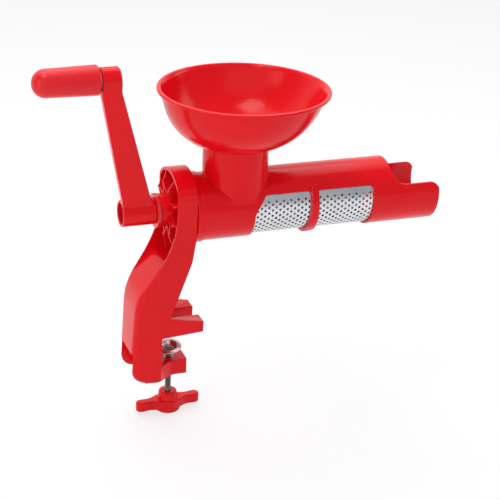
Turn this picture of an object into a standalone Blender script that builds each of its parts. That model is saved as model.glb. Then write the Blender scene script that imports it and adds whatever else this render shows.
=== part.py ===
"""Hand-cranked tomato strainer: a table-clamp stand, a strainer barrel with its hopper, an auger and its crank.

The origin lies on the clamp screw's axis, at the underside of the upper jaw where the table top meets it.
+X runs along the barrel to the outlet, +Z is up. Values are in metres, written as millimetres times MM.
"""
import math

import bmesh
import bpy
from mathutils import Matrix, Vector

MM = 0.001
GAP = 0.3 * MM
RUN = 0.4 * MM
OVERLAP = 1 * MM
FACE_STEP = 0.2 * MM
BEYOND = 80 * MM

# Barrel and its axis
AXIS_Z = 125 * MM
BARREL_R = 33 * MM
BARREL_WALL = 2 * MM
COLLAR_STEP = 1.1 * MM
COLLAR_LENGTH = 8 * MM
REAR_WALL = 3.2 * MM
HOOD_END_X = 218.3 * MM
TROUGH_END_X = 267 * MM
TROUGH_TOP = 14 * MM
TROUGH_ROOT_R = 14 * MM
TROUGH_CORNER_R = 9 * MM
WINDOW_TOP = 16.7 * MM
WINDOW_START_X = 73.5 * MM
WINDOW_SLANT = 11.5 * MM
WINDOW_END_X = 196.7 * MM
WINDOW_CORNER_R = 3 * MM
RIB_X = 131.2 * MM
RIB_WIDTH = 7 * MM
RIB_STEP = 1.6 * MM
RIB_REACH = 22 * MM

# Neck and hopper
NECK_X = 62.6 * MM
NECK_R = 31.5 * MM
NECK_WALL = 2.6 * MM
NECK_TOP = 54.3 * MM
SPIGOT_LENGTH = 16 * MM
SPIGOT_WALL = 2.2 * MM
HOPPER_X = 68.9 * MM
HOPPER_R = 78.6 * MM
HOPPER_HEIGHT = 60.6 * MM
HOPPER_WALL = 2.2 * MM
HOPPER_STATIONS = [(0.05, 0.43), (0.16, 0.545), (0.24, 0.64), (0.34, 0.74), (0.46, 0.825), (0.60, 0.893), (0.75, 0.945)]
LIP_WIDTH = 3.6 * MM
LIP_HEIGHT = 3.4 * MM

# Stand: an arch round the shaft boss, two cheeks, a curved back web and the clamp jaws
ARCH_R = 40.6 * MM
ARCH_WALL = 3 * MM
ARCH_SHOULDER_R = 12 * MM
ARCH_LEFT_X = -3.2 * MM
ARCH_RIGHT_X = 15.6 * MM
ARCH_LAP = 8 * MM
ARCH_SPACE_DROP = 15 * MM
CHEEK_LEFT_X = -3 * MM
CHEEK_RIGHT_X = 16.5 * MM
CHEEK_TOP = 20 * MM
CHEEK_HALF_TOP = 30.7 * MM
CHEEK_HALF_FOOT = 22.5 * MM
CHEEK_WALL = 3.6 * MM
FOOT_Z = -48.3 * MM
PLATE_WALL = 4 * MM
PLATE_DROP = 28 * MM
SHELF_DROP = 50 * MM
SHELF_BACK_X = 5 * MM
SHELF_LIP_X = -11 * MM
SHELF_ROUND = 12 * MM
SHELF_FALL = (23 * MM, 24 * MM)
WEB_WALL = 4 * MM
WEB_FOOT_Z = -16 * MM
BACK_X = -45.2 * MM
BACK_BEND = (-40.3 * MM, 42.3 * MM, 52 * MM)
NAPE_Z = 96.8 * MM
NAPE_R = 90 * MM
HEEL_ROUND = 14 * MM
EDGE_X = -14.3 * MM
EDGE_ROUND = 2 * MM
KNEE = (13 * MM, 79 * MM, 14 * MM)
BROW_DROP = 20 * MM
BROW_R = 30 * MM
EDGE_TURN_Z = -1.5 * MM
WEB_ROUND = 8 * MM
WEB_ROUND_Z = 45 * MM
NAPE_ROUND = 1.5 * MM
NAPE_ROUND_Z = 85 * MM
RING_STEP = 1.2 * MM
BOSS_R = 16 * MM
BOSS_LEFT_X = -13.6 * MM
SPOKES = 9
SPOKE_START = math.radians(-65)
SPOKE_WALL = 1.8 * MM
SPOKE_FORK_R = 27 * MM
SPOKE_FORK = math.radians(20)
SPOKE_FORK_RISE = 4 * MM
SPOKE_BOSS_RISE = 2 * MM
SPOKE_BACK = 4.6 * MM
HOOK_INNER = 20.5 * MM
HOOK_OUTER = 23.2 * MM
HOOK_LIP = 2.2 * MM
HOOK_WIDTH = 2.6 * MM
HOOK_HALF = math.radians(11)
HOOK_TWIST = math.radians(28)
HOOK_PLACES = [math.radians(a) for a in (35, 155, 275)]

# Clamp
PRONG_END_X = 27.5 * MM
PRONG_INNER = 9.5 * MM
PRONG_LIFT = 3 * MM
PRONG_END_HEIGHT = 11.2 * MM
PRONG_ROOT_HEIGHT = 21.5 * MM
PRONG_ROOT_INNER = 14 * MM
PRONG_ROOT_X = -14.2 * MM
JAW_PLATE = 4 * MM
JAW_PLATE_END_X = 4 * MM
BLOCK_END_X = 15.7 * MM
BLOCK_HALF = 11 * MM
BLOCK_TOP = -32.5 * MM
BLOCK_BACK_X = -30 * MM
BLOCK_FLARE = 14 * MM
BLOCK_FLARE_R = 12 * MM
BLOCK_CORNER_R = 1.2 * MM
SCREW_R = 3 * MM
NUT_FLATS = 10 * MM
NUT_HEIGHT = 5 * MM
PAD_R = 12.8 * MM
PAD_RIM_Z = -19.5 * MM
PAD_DEPTH = 5.6 * MM
PAD_WALL = 1.1 * MM
PAD_SEAT_R = 4.6 * MM
KNOB_TOP_Z = -70.6 * MM
KNOB_HEIGHT = 21.4 * MM
KNOB_TOP_R = 8.8 * MM
KNOB_HUB_R = 11.5 * MM
WING_SPAN = 33.6 * MM
WING_HALF = 5.6 * MM
WING_HEIGHT = 10 * MM
WING_RISE = 3 * MM
WING_TURN = math.radians(5)

# Shaft line
SHAFT_R = 6 * MM
SHAFT_SQUARE = 4.1 * MM
SHAFT_LEFT_X = -33 * MM
SHAFT_SHOULDER_X = -16 * MM
SHAFT_DRIVE_X = 27 * MM
SHAFT_RIGHT_X = 52 * MM
BUSH_WALL = 2.6 * MM
BUSH_FLANGE = 2 * MM
BUSH_FLANGE_R = 11.4 * MM
SEAL_R = 11 * MM
SEAL_WIDTH = 2.6 * MM
THRUST_R = 12 * MM
THRUST_WIDTH = 1.4 * MM

# Auger, spring and screen
AUGER_START_X = 36 * MM
AUGER_END_X = 196 * MM
AUGER_CORE_START = 10 * MM
AUGER_CORE_END = 17 * MM
AUGER_NOSE = 7 * MM
FLIGHT_GAP = 0.7 * MM
FLIGHT_WALL = 2.4 * MM
FLIGHT_PITCH = 27 * MM
SPRING_R = 9.4 * MM
SPRING_WIRE_R = 0.8 * MM
SPRING_TURNS = 3
SCREEN_WALL = 0.6 * MM
SCREEN_START_X = 71 * MM
SCREEN_END_X = 203 * MM
SCREEN_ROWS = 20
SCREEN_COLUMNS = 7
SCREEN_HOLE_LONG = 2.4 * MM
SCREEN_HOLE_ROUND = 2.2 * MM
SCREEN_PLAIN = math.radians(70)
OUTLET_RING_WIDTH = 6 * MM
OUTLET_RING_DEPTH = 6.7 * MM

# Crank
CRANK_TILT = math.radians(8)
CRANK_R = 140 * MM
HUB_R = 12.8 * MM
HUB_LEFT_X = -50.4 * MM
HUB_RIGHT_X = -18 * MM
HUB_RECESS_R = 10.4 * MM
HUB_RECESS = 14 * MM
DISC_R = 16.8 * MM
GRIP_BOSS_R = 11.8 * MM
GRIP_BOSS_LEFT_X = -75.2 * MM
GRIP_BOSS_RIGHT_X = -57 * MM
ARM_FOOT_LEFT_X = -49 * MM
ARM_FOOT_RIGHT_X = -25.6 * MM
ARM_FACE_FOOT = 8 * MM
ARM_FACE_TOP = 11 * MM
ARM_DEPTH = 10.5 * MM
ARM_WALL = 3 * MM
ARM_FLARE_R = 9 * MM
GRIP_R = 14.2 * MM
GRIP_LEFT_X = -138 * MM
GRIP_RIGHT_X = -76.8 * MM
GRIP_CHAMFER = 1.6 * MM
AXLE_R = 4 * MM
AXLE_LEFT_X = -126 * MM
SCREW_SHANK_R = 2.2 * MM
SCREW_HEAD_R = 4.6 * MM
SCREW_HEAD_HEIGHT = 3.2 * MM
WASHER_WIDTH = 1.2 * MM

# Values that follow
BORE_R = BARREL_R - BARREL_WALL
COLLAR_R = BARREL_R + COLLAR_STEP
RIB_R = BARREL_R + RIB_STEP
SCREEN_R = BORE_R - GAP
FLIGHT_R = SCREEN_R - SCREEN_WALL - FLIGHT_GAP
HOUSING_LEFT_X = CHEEK_RIGHT_X + GAP
COLLAR_RIGHT_X = HOUSING_LEFT_X + COLLAR_LENGTH
HOUSING_INSIDE_X = HOUSING_LEFT_X + REAR_WALL
PLATE_LEFT_X = CHEEK_RIGHT_X - PLATE_WALL
SHELF_Z = AXIS_Z - SHELF_DROP
NECK_BORE_R = NECK_R - NECK_WALL
BUSH_R = SHAFT_R + RUN + BUSH_WALL
CHEEK_SLOPE = (CHEEK_HALF_TOP - CHEEK_HALF_FOOT) / (AXIS_Z + CHEEK_TOP - FOOT_Z)

for old in list(bpy.data.objects):
    bpy.data.objects.remove(old, do_unlink=True)

parts = bpy.data.collections.new("tomato_strainer")
cutters = bpy.data.collections.new("cutters")
bpy.context.scene.collection.children.link(parts)
bpy.context.scene.collection.children.link(cutters)
cutters.hide_render = True


def material(name, colour, roughness, metallic=0.0):
    """A Principled material with the finish seen on the object."""
    made = bpy.data.materials.new(name)
    made.use_nodes = True
    shader = made.node_tree.nodes["Principled BSDF"]
    shader.inputs["Base Color"].default_value = (*colour, 1.0)
    shader.inputs["Roughness"].default_value = roughness
    shader.inputs["Metallic"].default_value = metallic
    return made


RED = material("gloss_red", (0.68, 0.012, 0.018), 0.25)
GRIP_RED = material("matte_red", (0.60, 0.020, 0.025), 0.45)
STEEL = material("steel", (0.62, 0.62, 0.64), 0.30, 1.0)
CHROME = material("chrome", (0.80, 0.80, 0.82), 0.10, 1.0)
NYLON = material("nylon", (0.85, 0.80, 0.78), 0.40)
RUBBER = material("rubber", (0.05, 0.05, 0.05), 0.70)


def empty(name, location, rotation=(0.0, 0.0, 0.0), parent=None):
    """A joint's or a sub-assembly's frame."""
    made = bpy.data.objects.new(name, None)
    made.empty_display_size = 0.02
    made.location = location
    made.rotation_euler = rotation
    made.parent = parent
    parts.objects.link(made)
    return made


def add(name, mesh, finish=None, parent=None, location=(0.0, 0.0, 0.0), rotation=(0.0, 0.0, 0.0)):
    """Puts a mesh in the scene: as a part where it has a finish, or else as a cutter."""
    made = bpy.data.objects.new(name, mesh)
    made.location = location
    made.rotation_euler = rotation
    made.parent = parent
    if finish is None:
        cutters.objects.link(made)
        made.hide_render = True
        made.display_type = "WIRE"
        return made
    mesh.materials.append(finish)
    parts.objects.link(made)
    return made


def finished(bm, name):
    """A bmesh as a mesh that faces out and is shaded smooth up to its sharp edges."""
    bmesh.ops.remove_doubles(bm, verts=bm.verts, dist=0.002 * MM)
    bmesh.ops.recalc_face_normals(bm, faces=bm.faces)
    mesh = bpy.data.meshes.new(name)
    bm.to_mesh(mesh)
    bm.free()
    if mesh.polygons:
        mesh.shade_smooth()
        mesh.set_sharp_from_angle(angle=math.radians(35))
    return mesh


def round_corners(corners, step=math.radians(15)):
    """An outline whose corners (x, y) or (x, y, radius) are rounded by arcs."""
    outline = []
    count = len(corners)
    for i, corner in enumerate(corners):
        here = Vector(corner[:2])
        radius = corner[2] if len(corner) > 2 else 0.0
        before = Vector(corners[i - 1][:2]) - here
        after = Vector(corners[(i + 1) % count][:2]) - here
        if not radius:
            outline.append(here)
            continue
        half = before.angle(after) / 2
        reach = radius / math.tan(half)
        start = here + before.normalized() * reach
        end = here + after.normalized() * reach
        middle = here + (before.normalized() + after.normalized()).normalized() * radius / math.sin(half)
        arms = (start - middle, end - middle)
        turn = math.pi - 2 * half
        pieces = max(2, round(turn / step))
        side = math.copysign(1.0, arms[0].x * arms[1].y - arms[0].y * arms[1].x)
        for k in range(pieces + 1):
            outline.append(middle + Matrix.Rotation(side * turn * k / pieces, 2) @ arms[0])
    return outline


def arc(radius, start, end, pieces, centre=(0.0, 0.0)):
    """Points of a circle from one angle to another, counted from the first axis."""
    angles = [start + (end - start) * k / pieces for k in range(pieces + 1)]
    return [Vector((centre[0] + radius * math.cos(a), centre[1] + radius * math.sin(a))) for a in angles]


def plate(name, outline, low, high, plane="XY"):
    """A flat outline, filled and extruded from low to high across its plane."""
    curve = bpy.data.curves.new(name, "CURVE")
    curve.dimensions = "2D"
    curve.fill_mode = "BOTH"
    curve.extrude = (high - low) / 2
    spline = curve.splines.new("POLY")
    spline.points.add(len(outline) - 1)
    for point, (x, y) in zip(spline.points, outline):
        point.co = (x, y, 0.0, 1.0)
    spline.use_cyclic_u = True
    drawn = bpy.data.objects.new(name, curve)
    bpy.context.scene.collection.objects.link(drawn)
    graph = bpy.context.evaluated_depsgraph_get()
    mesh = bpy.data.meshes.new_from_object(drawn.evaluated_get(graph))
    bpy.data.objects.remove(drawn)
    bm = bmesh.new()
    bm.from_mesh(mesh)
    bmesh.ops.translate(bm, verts=bm.verts, vec=(0.0, 0.0, (low + high) / 2))
    turns = {
        "XY": Matrix.Identity(4),
        "XZ": Matrix(((1, 0, 0, 0), (0, 0, 1, 0), (0, 1, 0, 0), (0, 0, 0, 1))),
        "YZ": Matrix(((0, 0, 1, 0), (1, 0, 0, 0), (0, 1, 0, 0), (0, 0, 0, 1))),
    }
    bmesh.ops.transform(bm, matrix=turns[plane], verts=bm.verts)
    bmesh.ops.remove_doubles(bm, verts=bm.verts, dist=0.002 * MM)
    bmesh.ops.dissolve_limit(bm, angle_limit=math.radians(0.1), verts=bm.verts, edges=bm.edges)
    return finished(bm, name)


def turned(name, profile, steps=48, axis="X", turns=1.0, rise=0.0):
    """A profile of (place along the axis, radius) points turned by a Screw modifier; returned as a mesh."""
    bm = bmesh.new()
    points = [bm.verts.new((radius, 0.0, along)) for along, radius in profile]
    for first, second in zip(points, points[1:] + points[:1]):
        if first.co.x > 0 or second.co.x > 0:
            bm.edges.new((first, second))
    mesh = bpy.data.meshes.new(name)
    bm.to_mesh(mesh)
    bm.free()
    drawn = bpy.data.objects.new(name, mesh)
    bpy.context.scene.collection.objects.link(drawn)
    screw = drawn.modifiers.new("turn", "SCREW")
    screw.axis = "Z"
    screw.steps = steps
    screw.render_steps = steps
    screw.angle = math.tau * turns
    screw.screw_offset = rise
    screw.use_merge_vertices = not rise
    screw.merge_threshold = 0.005 * MM
    graph = bpy.context.evaluated_depsgraph_get()
    solid = bpy.data.meshes.new_from_object(drawn.evaluated_get(graph))
    bpy.data.objects.remove(drawn)
    bm = bmesh.new()
    bm.from_mesh(solid)
    if rise:
        bmesh.ops.holes_fill(bm, edges=bm.edges, sides=0)
    if axis == "X":
        bmesh.ops.rotate(bm, verts=bm.verts, matrix=Matrix.Rotation(math.radians(90), 3, "Y"))
    return finished(bm, name)


def box(name, low, high):
    """A box from its lowest to its highest corner."""
    bm = bmesh.new()
    bmesh.ops.create_cube(bm, size=1.0)
    size = Vector(high) - Vector(low)
    bmesh.ops.scale(bm, verts=bm.verts, vec=size)
    bmesh.ops.translate(bm, verts=bm.verts, vec=(Vector(high) + Vector(low)) / 2)
    return finished(bm, name)


def prism(name, sides, radius, low, high, axis="X", turn=math.radians(1.3)):
    """A bar of regular section, its corners at the radius and turned off its neighbours' edges, along X or Z."""
    bm = bmesh.new()
    bmesh.ops.create_cone(bm, cap_ends=True, segments=sides, radius1=radius, radius2=radius, depth=high - low)
    bmesh.ops.rotate(bm, verts=bm.verts, matrix=Matrix.Rotation(turn, 3, "Z"))
    bmesh.ops.translate(bm, verts=bm.verts, vec=(0.0, 0.0, (low + high) / 2))
    if axis == "X":
        bmesh.ops.rotate(bm, verts=bm.verts, matrix=Matrix.Rotation(math.radians(90), 3, "Y"))
    return finished(bm, name)


def boolean(target, tool, operation):
    """One live Boolean of a part with a cutter or with a shape that becomes part of it."""
    modifier = target.modifiers.new(tool.name, "BOOLEAN")
    modifier.operation = operation
    modifier.object = tool
    modifier.solver = "EXACT"


def cut(target, name, mesh, parent=None, location=(0.0, 0.0, 0.0), rotation=(0.0, 0.0, 0.0)):
    boolean(target, add(name, mesh, None, parent, location, rotation), "DIFFERENCE")


def join(target, name, mesh, parent=None, location=(0.0, 0.0, 0.0), rotation=(0.0, 0.0, 0.0)):
    boolean(target, add(name, mesh, None, parent, location, rotation), "UNION")


def lofted(name, rings):
    """Closed rings of points joined in turn, the first and the last of them filled."""
    bm = bmesh.new()
    rows = [[bm.verts.new(point) for point in ring] for ring in rings]
    for one, two in zip(rows, rows[1:]):
        for a in range(len(one)):
            b = (a + 1) % len(one)
            bm.faces.new((one[a], one[b], two[b], two[a]))
    bm.faces.new(rows[0])
    bm.faces.new(rows[-1])
    return finished(bm, name)


def swept(name, profile, start, end, pieces=6):
    """A profile of (x, radius) points swept round the X axis between two angles from the top towards +Y."""
    angles = [start + (end - start) * k / pieces for k in range(pieces + 1)]
    return lofted(name, [[(x, r * math.sin(a), r * math.cos(a)) for x, r in profile] for a in angles])


def section(low, high, inner, outer):
    """A rectangle as a swept piece's profile."""
    return [(low, inner), (high, inner), (high, outer), (low, outer)]


def cheek_half(z):
    """Half the stand's width over the outer faces of its cheeks, which draw in towards the foot."""
    return CHEEK_HALF_FOOT + (z - FOOT_Z) * CHEEK_SLOPE


def taper(mesh, inset):
    """Spreads a plate of the XZ plane to the cheeks' drawn-in faces, less an inset."""
    for vertex in mesh.vertices:
        vertex.co.y = math.copysign(cheek_half(vertex.co.z) - inset, vertex.co.y)
    return mesh


def stand_outline():
    """Side view of the cheeks: the arch's flanks, the S-shaped back, the heel and the front edge."""
    return round_corners([
        (CHEEK_RIGHT_X, AXIS_Z + CHEEK_TOP),
        (CHEEK_LEFT_X, AXIS_Z + CHEEK_TOP),
        (CHEEK_LEFT_X, NAPE_Z, NAPE_R),
        BACK_BEND,
        (BACK_X, FOOT_Z, HEEL_ROUND),
        (EDGE_X, FOOT_Z, EDGE_ROUND),
        (EDGE_X, EDGE_TURN_Z),
        KNEE,
        (CHEEK_RIGHT_X, AXIS_Z - BROW_DROP, BROW_R),
    ], math.radians(9))


def span(outline, z):
    """The lowest and the highest X of an outline at a height."""
    found = []
    for first, second in zip(outline, outline[1:] + outline[:1]):
        if first.y != second.y and min(first.y, second.y) <= z <= max(first.y, second.y):
            share = (z - first.y) / (second.y - first.y)
            found.append(first.x + (second.x - first.x) * share)
    return min(found), max(found)


def stand_blank():
    """The cheeks and the web between them as one solid of level rings, widely rounded at the web's back edges."""
    outline = stand_outline()
    levels = []
    for z in sorted(point.y for point in outline):
        if not levels or z - levels[-1] > RING_STEP:
            levels.append(z)
    rings = []
    for z in levels:
        back, front = span(outline, z)
        half = cheek_half(z)
        share = min(1.0, max(0.0, (z - WEB_ROUND_Z) / (NAPE_ROUND_Z - WEB_ROUND_Z)))
        radius = WEB_ROUND + (NAPE_ROUND - WEB_ROUND) * share
        corner = arc(radius, math.radians(90), math.radians(180), 4, (back + radius, half - radius))
        ring = [(front, -half, z), (front, half, z)]
        ring += [(x, y, z) for x, y in corner]
        ring += [(x, -y, z) for x, y in reversed(corner)]
        rings.append(ring)
    return lofted("stand_blank", rings)


def arch_outline(inset, foot_z, draw=0.0):
    """End view of the arch: a round top that runs over rounded shoulders into the cheeks' faces."""
    shoulder = ARCH_SHOULDER_R - inset
    across = cheek_half(AXIS_Z + CHEEK_TOP) - ARCH_SHOULDER_R
    rise = math.sqrt((ARCH_R - ARCH_SHOULDER_R) ** 2 - across ** 2)
    lean = math.atan2(rise, across)
    crown = arc(ARCH_R - inset, lean, math.pi - lean, 12, (0.0, AXIS_Z))
    near = arc(shoulder, math.pi - lean, math.pi, 4, (-across, AXIS_Z + rise))
    far = arc(shoulder, 0.0, lean, 4, (across, AXIS_Z + rise))
    low = cheek_half(foot_z) - inset - draw
    return far + crown[1:-1] + near + [Vector((-low, foot_z)), Vector((low, foot_z))]


def shelf_outline():
    """Side view of the space above the shelf's rounded left edge."""
    plate_x = PLATE_LEFT_X - FACE_STEP
    return round_corners([
        (-BEYOND, AXIS_Z),
        (plate_x, AXIS_Z),
        (plate_x, AXIS_Z - PLATE_DROP),
        (SHELF_BACK_X, SHELF_Z),
        (SHELF_LIP_X, SHELF_Z, SHELF_ROUND),
        (SHELF_LIP_X - SHELF_FALL[0], SHELF_Z - SHELF_FALL[1]),
        (-BEYOND, SHELF_Z - SHELF_FALL[1]),
    ])


def channel_outline():
    """Side view of the hollow between the cheeks, open in front and below."""
    return round_corners([
        (BEYOND, SHELF_Z - WEB_WALL),
        (SHELF_LIP_X + WEB_WALL / 2, SHELF_Z - WEB_WALL, 2 * WEB_WALL),
        (BACK_BEND[0] + WEB_WALL, BACK_BEND[1] - WEB_WALL / 3, BACK_BEND[2] - WEB_WALL),
        (BACK_X + WEB_WALL, WEB_FOOT_Z),
        (-BEYOND, WEB_FOOT_Z),
        (-BEYOND, FOOT_Z - BEYOND),
        (BEYOND, FOOT_Z - BEYOND),
    ])


def gusset(outer, inner, outer_x, inner_x, short):
    """A thin wall between two places in the end view, its left edge rising from one X to the other."""
    along = (Vector(inner) - Vector(outer)).normalized()
    side = Vector((-along.y, along.x)) * SPOKE_WALL / 2
    along *= SPOKE_WALL / 3 + short / 2
    bm = bmesh.new()
    bmesh.ops.create_cube(bm, size=2.0)
    for vertex in bm.verts:
        end = Vector(outer) - along if vertex.co.y < 0 else Vector(inner) + along
        left = outer_x if vertex.co.y < 0 else inner_x
        place = end + side * vertex.co.z
        vertex.co = (left if vertex.co.x < 0 else PLATE_LEFT_X - SPOKE_BACK - short, place.x, place.y)
    return finished(bm, "gusset")


def prong(side):
    """One finger of the upper jaw: it lifts a little off the table, and its outer edge rises to the cheek."""
    bm = bmesh.new()
    bmesh.ops.create_cube(bm, size=2.0)
    for vertex in bm.verts:
        root, outer, top = vertex.co.x < 0, vertex.co.y > 0, vertex.co.z > 0
        foot = 0.0 if root else PRONG_LIFT
        height = PRONG_END_HEIGHT
        if root:
            height = PRONG_ROOT_HEIGHT if outer else PRONG_ROOT_INNER
        z = foot + height if top else foot
        y = cheek_half(z) + FACE_STEP / 2 if outer else PRONG_INNER
        vertex.co = (PRONG_ROOT_X if root else PRONG_END_X, side * y, z)
    return finished(bm, "prong")


def block_outline():
    """Plan of the lower jaw: a tongue that flares into both cheeks."""
    reach = cheek_half(BLOCK_TOP) - OVERLAP
    half = [
        (BLOCK_BACK_X, -reach),
        (EDGE_X - OVERLAP, -reach),
        (EDGE_X + BLOCK_FLARE, -BLOCK_HALF, BLOCK_FLARE_R),
        (BLOCK_END_X, -BLOCK_HALF, BLOCK_CORNER_R),
    ]
    other = [(x, -y, *rest) for x, y, *rest in reversed(half)]
    return round_corners(half + other)


def spoke_reach(angle):
    """How far from the axis a spoke ends inside the cheek, the arch or the shelf."""
    across, up = abs(math.sin(angle)), math.cos(angle)
    side = (cheek_half(AXIS_Z) - CHEEK_WALL / 2) / max(0.1, across - CHEEK_SLOPE * up)
    end = ARCH_R - ARCH_WALL * 0.6 if up > 0 else (SHELF_DROP + OVERLAP) / -up
    return min(side, end)


def make_stand():
    """Arch, cheeks, web, shaft boss with its forked spokes, upper prongs and lower jaw in one moulding."""
    stand = add("clamp_stand", stand_blank(), RED)
    crown = arch_outline(0.0, AXIS_Z + CHEEK_TOP - ARCH_LAP, OVERLAP)
    join(stand, "arch", plate("arch", crown, ARCH_LEFT_X, ARCH_RIGHT_X, "YZ"))
    inner = arch_outline(ARCH_WALL, AXIS_Z - ARCH_SPACE_DROP)
    cut(stand, "arch_space", plate("arch_space", inner, -BEYOND, PLATE_LEFT_X, "YZ"))
    cut(stand, "shelf_space", taper(plate("shelf_space", shelf_outline(), -MM, MM, "XZ"), CHEEK_WALL))
    cut(stand, "channel", taper(plate("channel", channel_outline(), -MM, MM, "XZ"), CHEEK_WALL))
    for side in (-1, 1):
        join(stand, f"prong_{side}", prong(side))
    reach = cheek_half(0.0) - CHEEK_WALL + OVERLAP
    jaw = box("jaw_plate", (BACK_BEND[0] + OVERLAP, -reach, 0.0), (JAW_PLATE_END_X, reach, JAW_PLATE))
    join(stand, "jaw_plate", jaw)
    join(stand, "jaw_block", plate("jaw_block", block_outline(), FOOT_Z + FACE_STEP, BLOCK_TOP))
    screw_hole = prism("screw_hole", 24, SCREW_R + GAP, FOOT_Z - OVERLAP, BLOCK_TOP + OVERLAP, "Z")
    cut(stand, "screw_hole", screw_hole)
    pocket_r = NUT_FLATS / math.sqrt(3) + GAP
    pocket = prism("nut_pocket", 6, pocket_r, BLOCK_TOP - NUT_HEIGHT - GAP, BLOCK_TOP + OVERLAP, "Z")
    cut(stand, "nut_pocket", pocket)
    join(stand, "shaft_boss", prism("shaft_boss", 32, BOSS_R, BOSS_LEFT_X, PLATE_LEFT_X + OVERLAP), barrel)
    fork_x = ARCH_LEFT_X - SPOKE_FORK_RISE
    boss_x = ARCH_LEFT_X - SPOKE_BOSS_RISE
    for i in range(SPOKES):
        angle = SPOKE_START + math.tau * i / SPOKES
        wall = spoke_reach(angle)
        outer = (wall * math.sin(angle), wall * math.cos(angle))
        fork = (SPOKE_FORK_R * math.sin(angle), SPOKE_FORK_R * math.cos(angle))
        join(stand, f"spoke_{i}", gusset(outer, fork, ARCH_LEFT_X + OVERLAP, fork_x, 0.0), barrel)
        for side in (-1, 1):
            lean = angle + side * SPOKE_FORK
            inner_r = BOSS_R - OVERLAP
            inner_end = (inner_r * math.sin(lean), inner_r * math.cos(lean))
            start_x = fork_x + side * FACE_STEP / 2
            fork_piece = gusset(fork, inner_end, start_x, boss_x, (2 + side) * FACE_STEP)
            join(stand, f"spoke_{i}_fork_{side}", fork_piece, barrel)
    cut(stand, "bush_bore", prism("bush_bore", 32, BUSH_R + GAP, -BEYOND, BEYOND), barrel)
    flange = prism("bush_seat", 32, BUSH_FLANGE_R + GAP, -BEYOND, BOSS_LEFT_X + BUSH_FLANGE + GAP)
    cut(stand, "bush_seat", flange, barrel)
    through = (PLATE_LEFT_X - OVERLAP, CHEEK_RIGHT_X + OVERLAP)
    for i, place in enumerate(HOOK_PLACES):
        low = place - HOOK_HALF - math.radians(2)
        high = place + HOOK_HALF + HOOK_TWIST
        slot = swept("slot", section(*through, HOOK_INNER - GAP, HOOK_OUTER + GAP), low, high)
        cut(stand, f"hook_slot_{i}", slot, barrel)
        entry = section(*through, HOOK_OUTER - MM, HOOK_OUTER + HOOK_LIP + GAP)
        low = high - 2 * HOOK_HALF - math.radians(2)
        cut(stand, f"hook_entry_{i}", swept("entry", entry, low, high - math.radians(0.2)), barrel)
    return stand


def make_housing():
    """Collar, barrel with its two windows, neck, hood and outlet trough, with the twist hooks at the rear."""
    profile = [
        (HOUSING_LEFT_X, 0.0),
        (HOUSING_LEFT_X, COLLAR_R),
        (COLLAR_RIGHT_X, COLLAR_R),
        (COLLAR_RIGHT_X, BARREL_R),
        (TROUGH_END_X, BARREL_R),
        (TROUGH_END_X, 0.0),
    ]
    housing = add("body_housing", turned("body_housing", profile, 48), RED, barrel)
    join(housing, "neck", prism("neck", 36, NECK_R, 0.0, NECK_TOP, "Z"), barrel, (NECK_X, 0.0, 0.0))
    lean = math.acos(RIB_REACH / RIB_R)
    band = section(RIB_X - 0.2 * MM, RIB_X + RIB_WIDTH + 0.2 * MM, BORE_R - 3 * MM, RIB_R)
    join(housing, "rib", swept("rib", band, lean, math.tau - lean, 34), barrel)
    bore = prism("barrel_bore", 48, BORE_R, HOUSING_INSIDE_X, TROUGH_END_X + 10 * MM)
    cut(housing, "barrel_bore", bore, barrel)
    throat = prism("neck_bore", 36, NECK_BORE_R, 2 * MM, NECK_TOP + 10 * MM, "Z")
    cut(housing, "neck_bore", throat, barrel, (NECK_X, 0.0, 0.0))
    seal = SHAFT_R + RUN
    cut(housing, "shaft_bore", prism("shaft_bore", 32, seal, 0.0, HOUSING_INSIDE_X + MM), barrel)
    first = [
        (RIB_X, WINDOW_TOP, WINDOW_CORNER_R),
        (WINDOW_START_X + WINDOW_SLANT, WINDOW_TOP, WINDOW_CORNER_R),
        (WINDOW_START_X, 0.0, 10 * MM),
        (WINDOW_START_X - MM, -2 * BARREL_R),
        (RIB_X, -2 * BARREL_R),
    ]
    second = [
        (WINDOW_END_X, WINDOW_TOP, WINDOW_CORNER_R),
        (RIB_X + RIB_WIDTH, WINDOW_TOP, WINDOW_CORNER_R),
        (RIB_X + RIB_WIDTH, -2 * BARREL_R),
        (WINDOW_END_X, -2 * BARREL_R),
    ]
    for name, corners in (("window_first", first), ("window_second", second)):
        cut(housing, name, plate(name, round_corners(corners), -2 * BARREL_R, 2 * BARREL_R, "XZ"), barrel)
    trough = [
        (HOOD_END_X, 2 * BARREL_R),
        (HOOD_END_X, TROUGH_TOP, TROUGH_ROOT_R),
        (TROUGH_END_X + 0.2 * MM, TROUGH_TOP, TROUGH_CORNER_R),
        (TROUGH_END_X + 0.2 * MM, -MM),
        (TROUGH_END_X + 20 * MM, -MM),
        (TROUGH_END_X + 20 * MM, 2 * BARREL_R),
    ]
    space = plate("trough_space", round_corners(trough), -2 * BARREL_R, 2 * BARREL_R, "XZ")
    cut(housing, "trough_space", space, barrel)
    tip = PLATE_LEFT_X - GAP - HOOK_WIDTH
    hook = [
        (tip, HOOK_INNER),
        (HOUSING_LEFT_X + MM, HOOK_INNER),
        (HOUSING_LEFT_X + MM, HOOK_OUTER),
        (PLATE_LEFT_X - GAP, HOOK_OUTER),
        (PLATE_LEFT_X - GAP, HOOK_OUTER + HOOK_LIP),
        (tip, HOOK_OUTER + HOOK_LIP),
    ]
    for i, place in enumerate(HOOK_PLACES):
        join(housing, f"hook_{i}", swept("hook", hook, place - HOOK_HALF, place + HOOK_HALF), barrel)
    return housing


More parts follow.
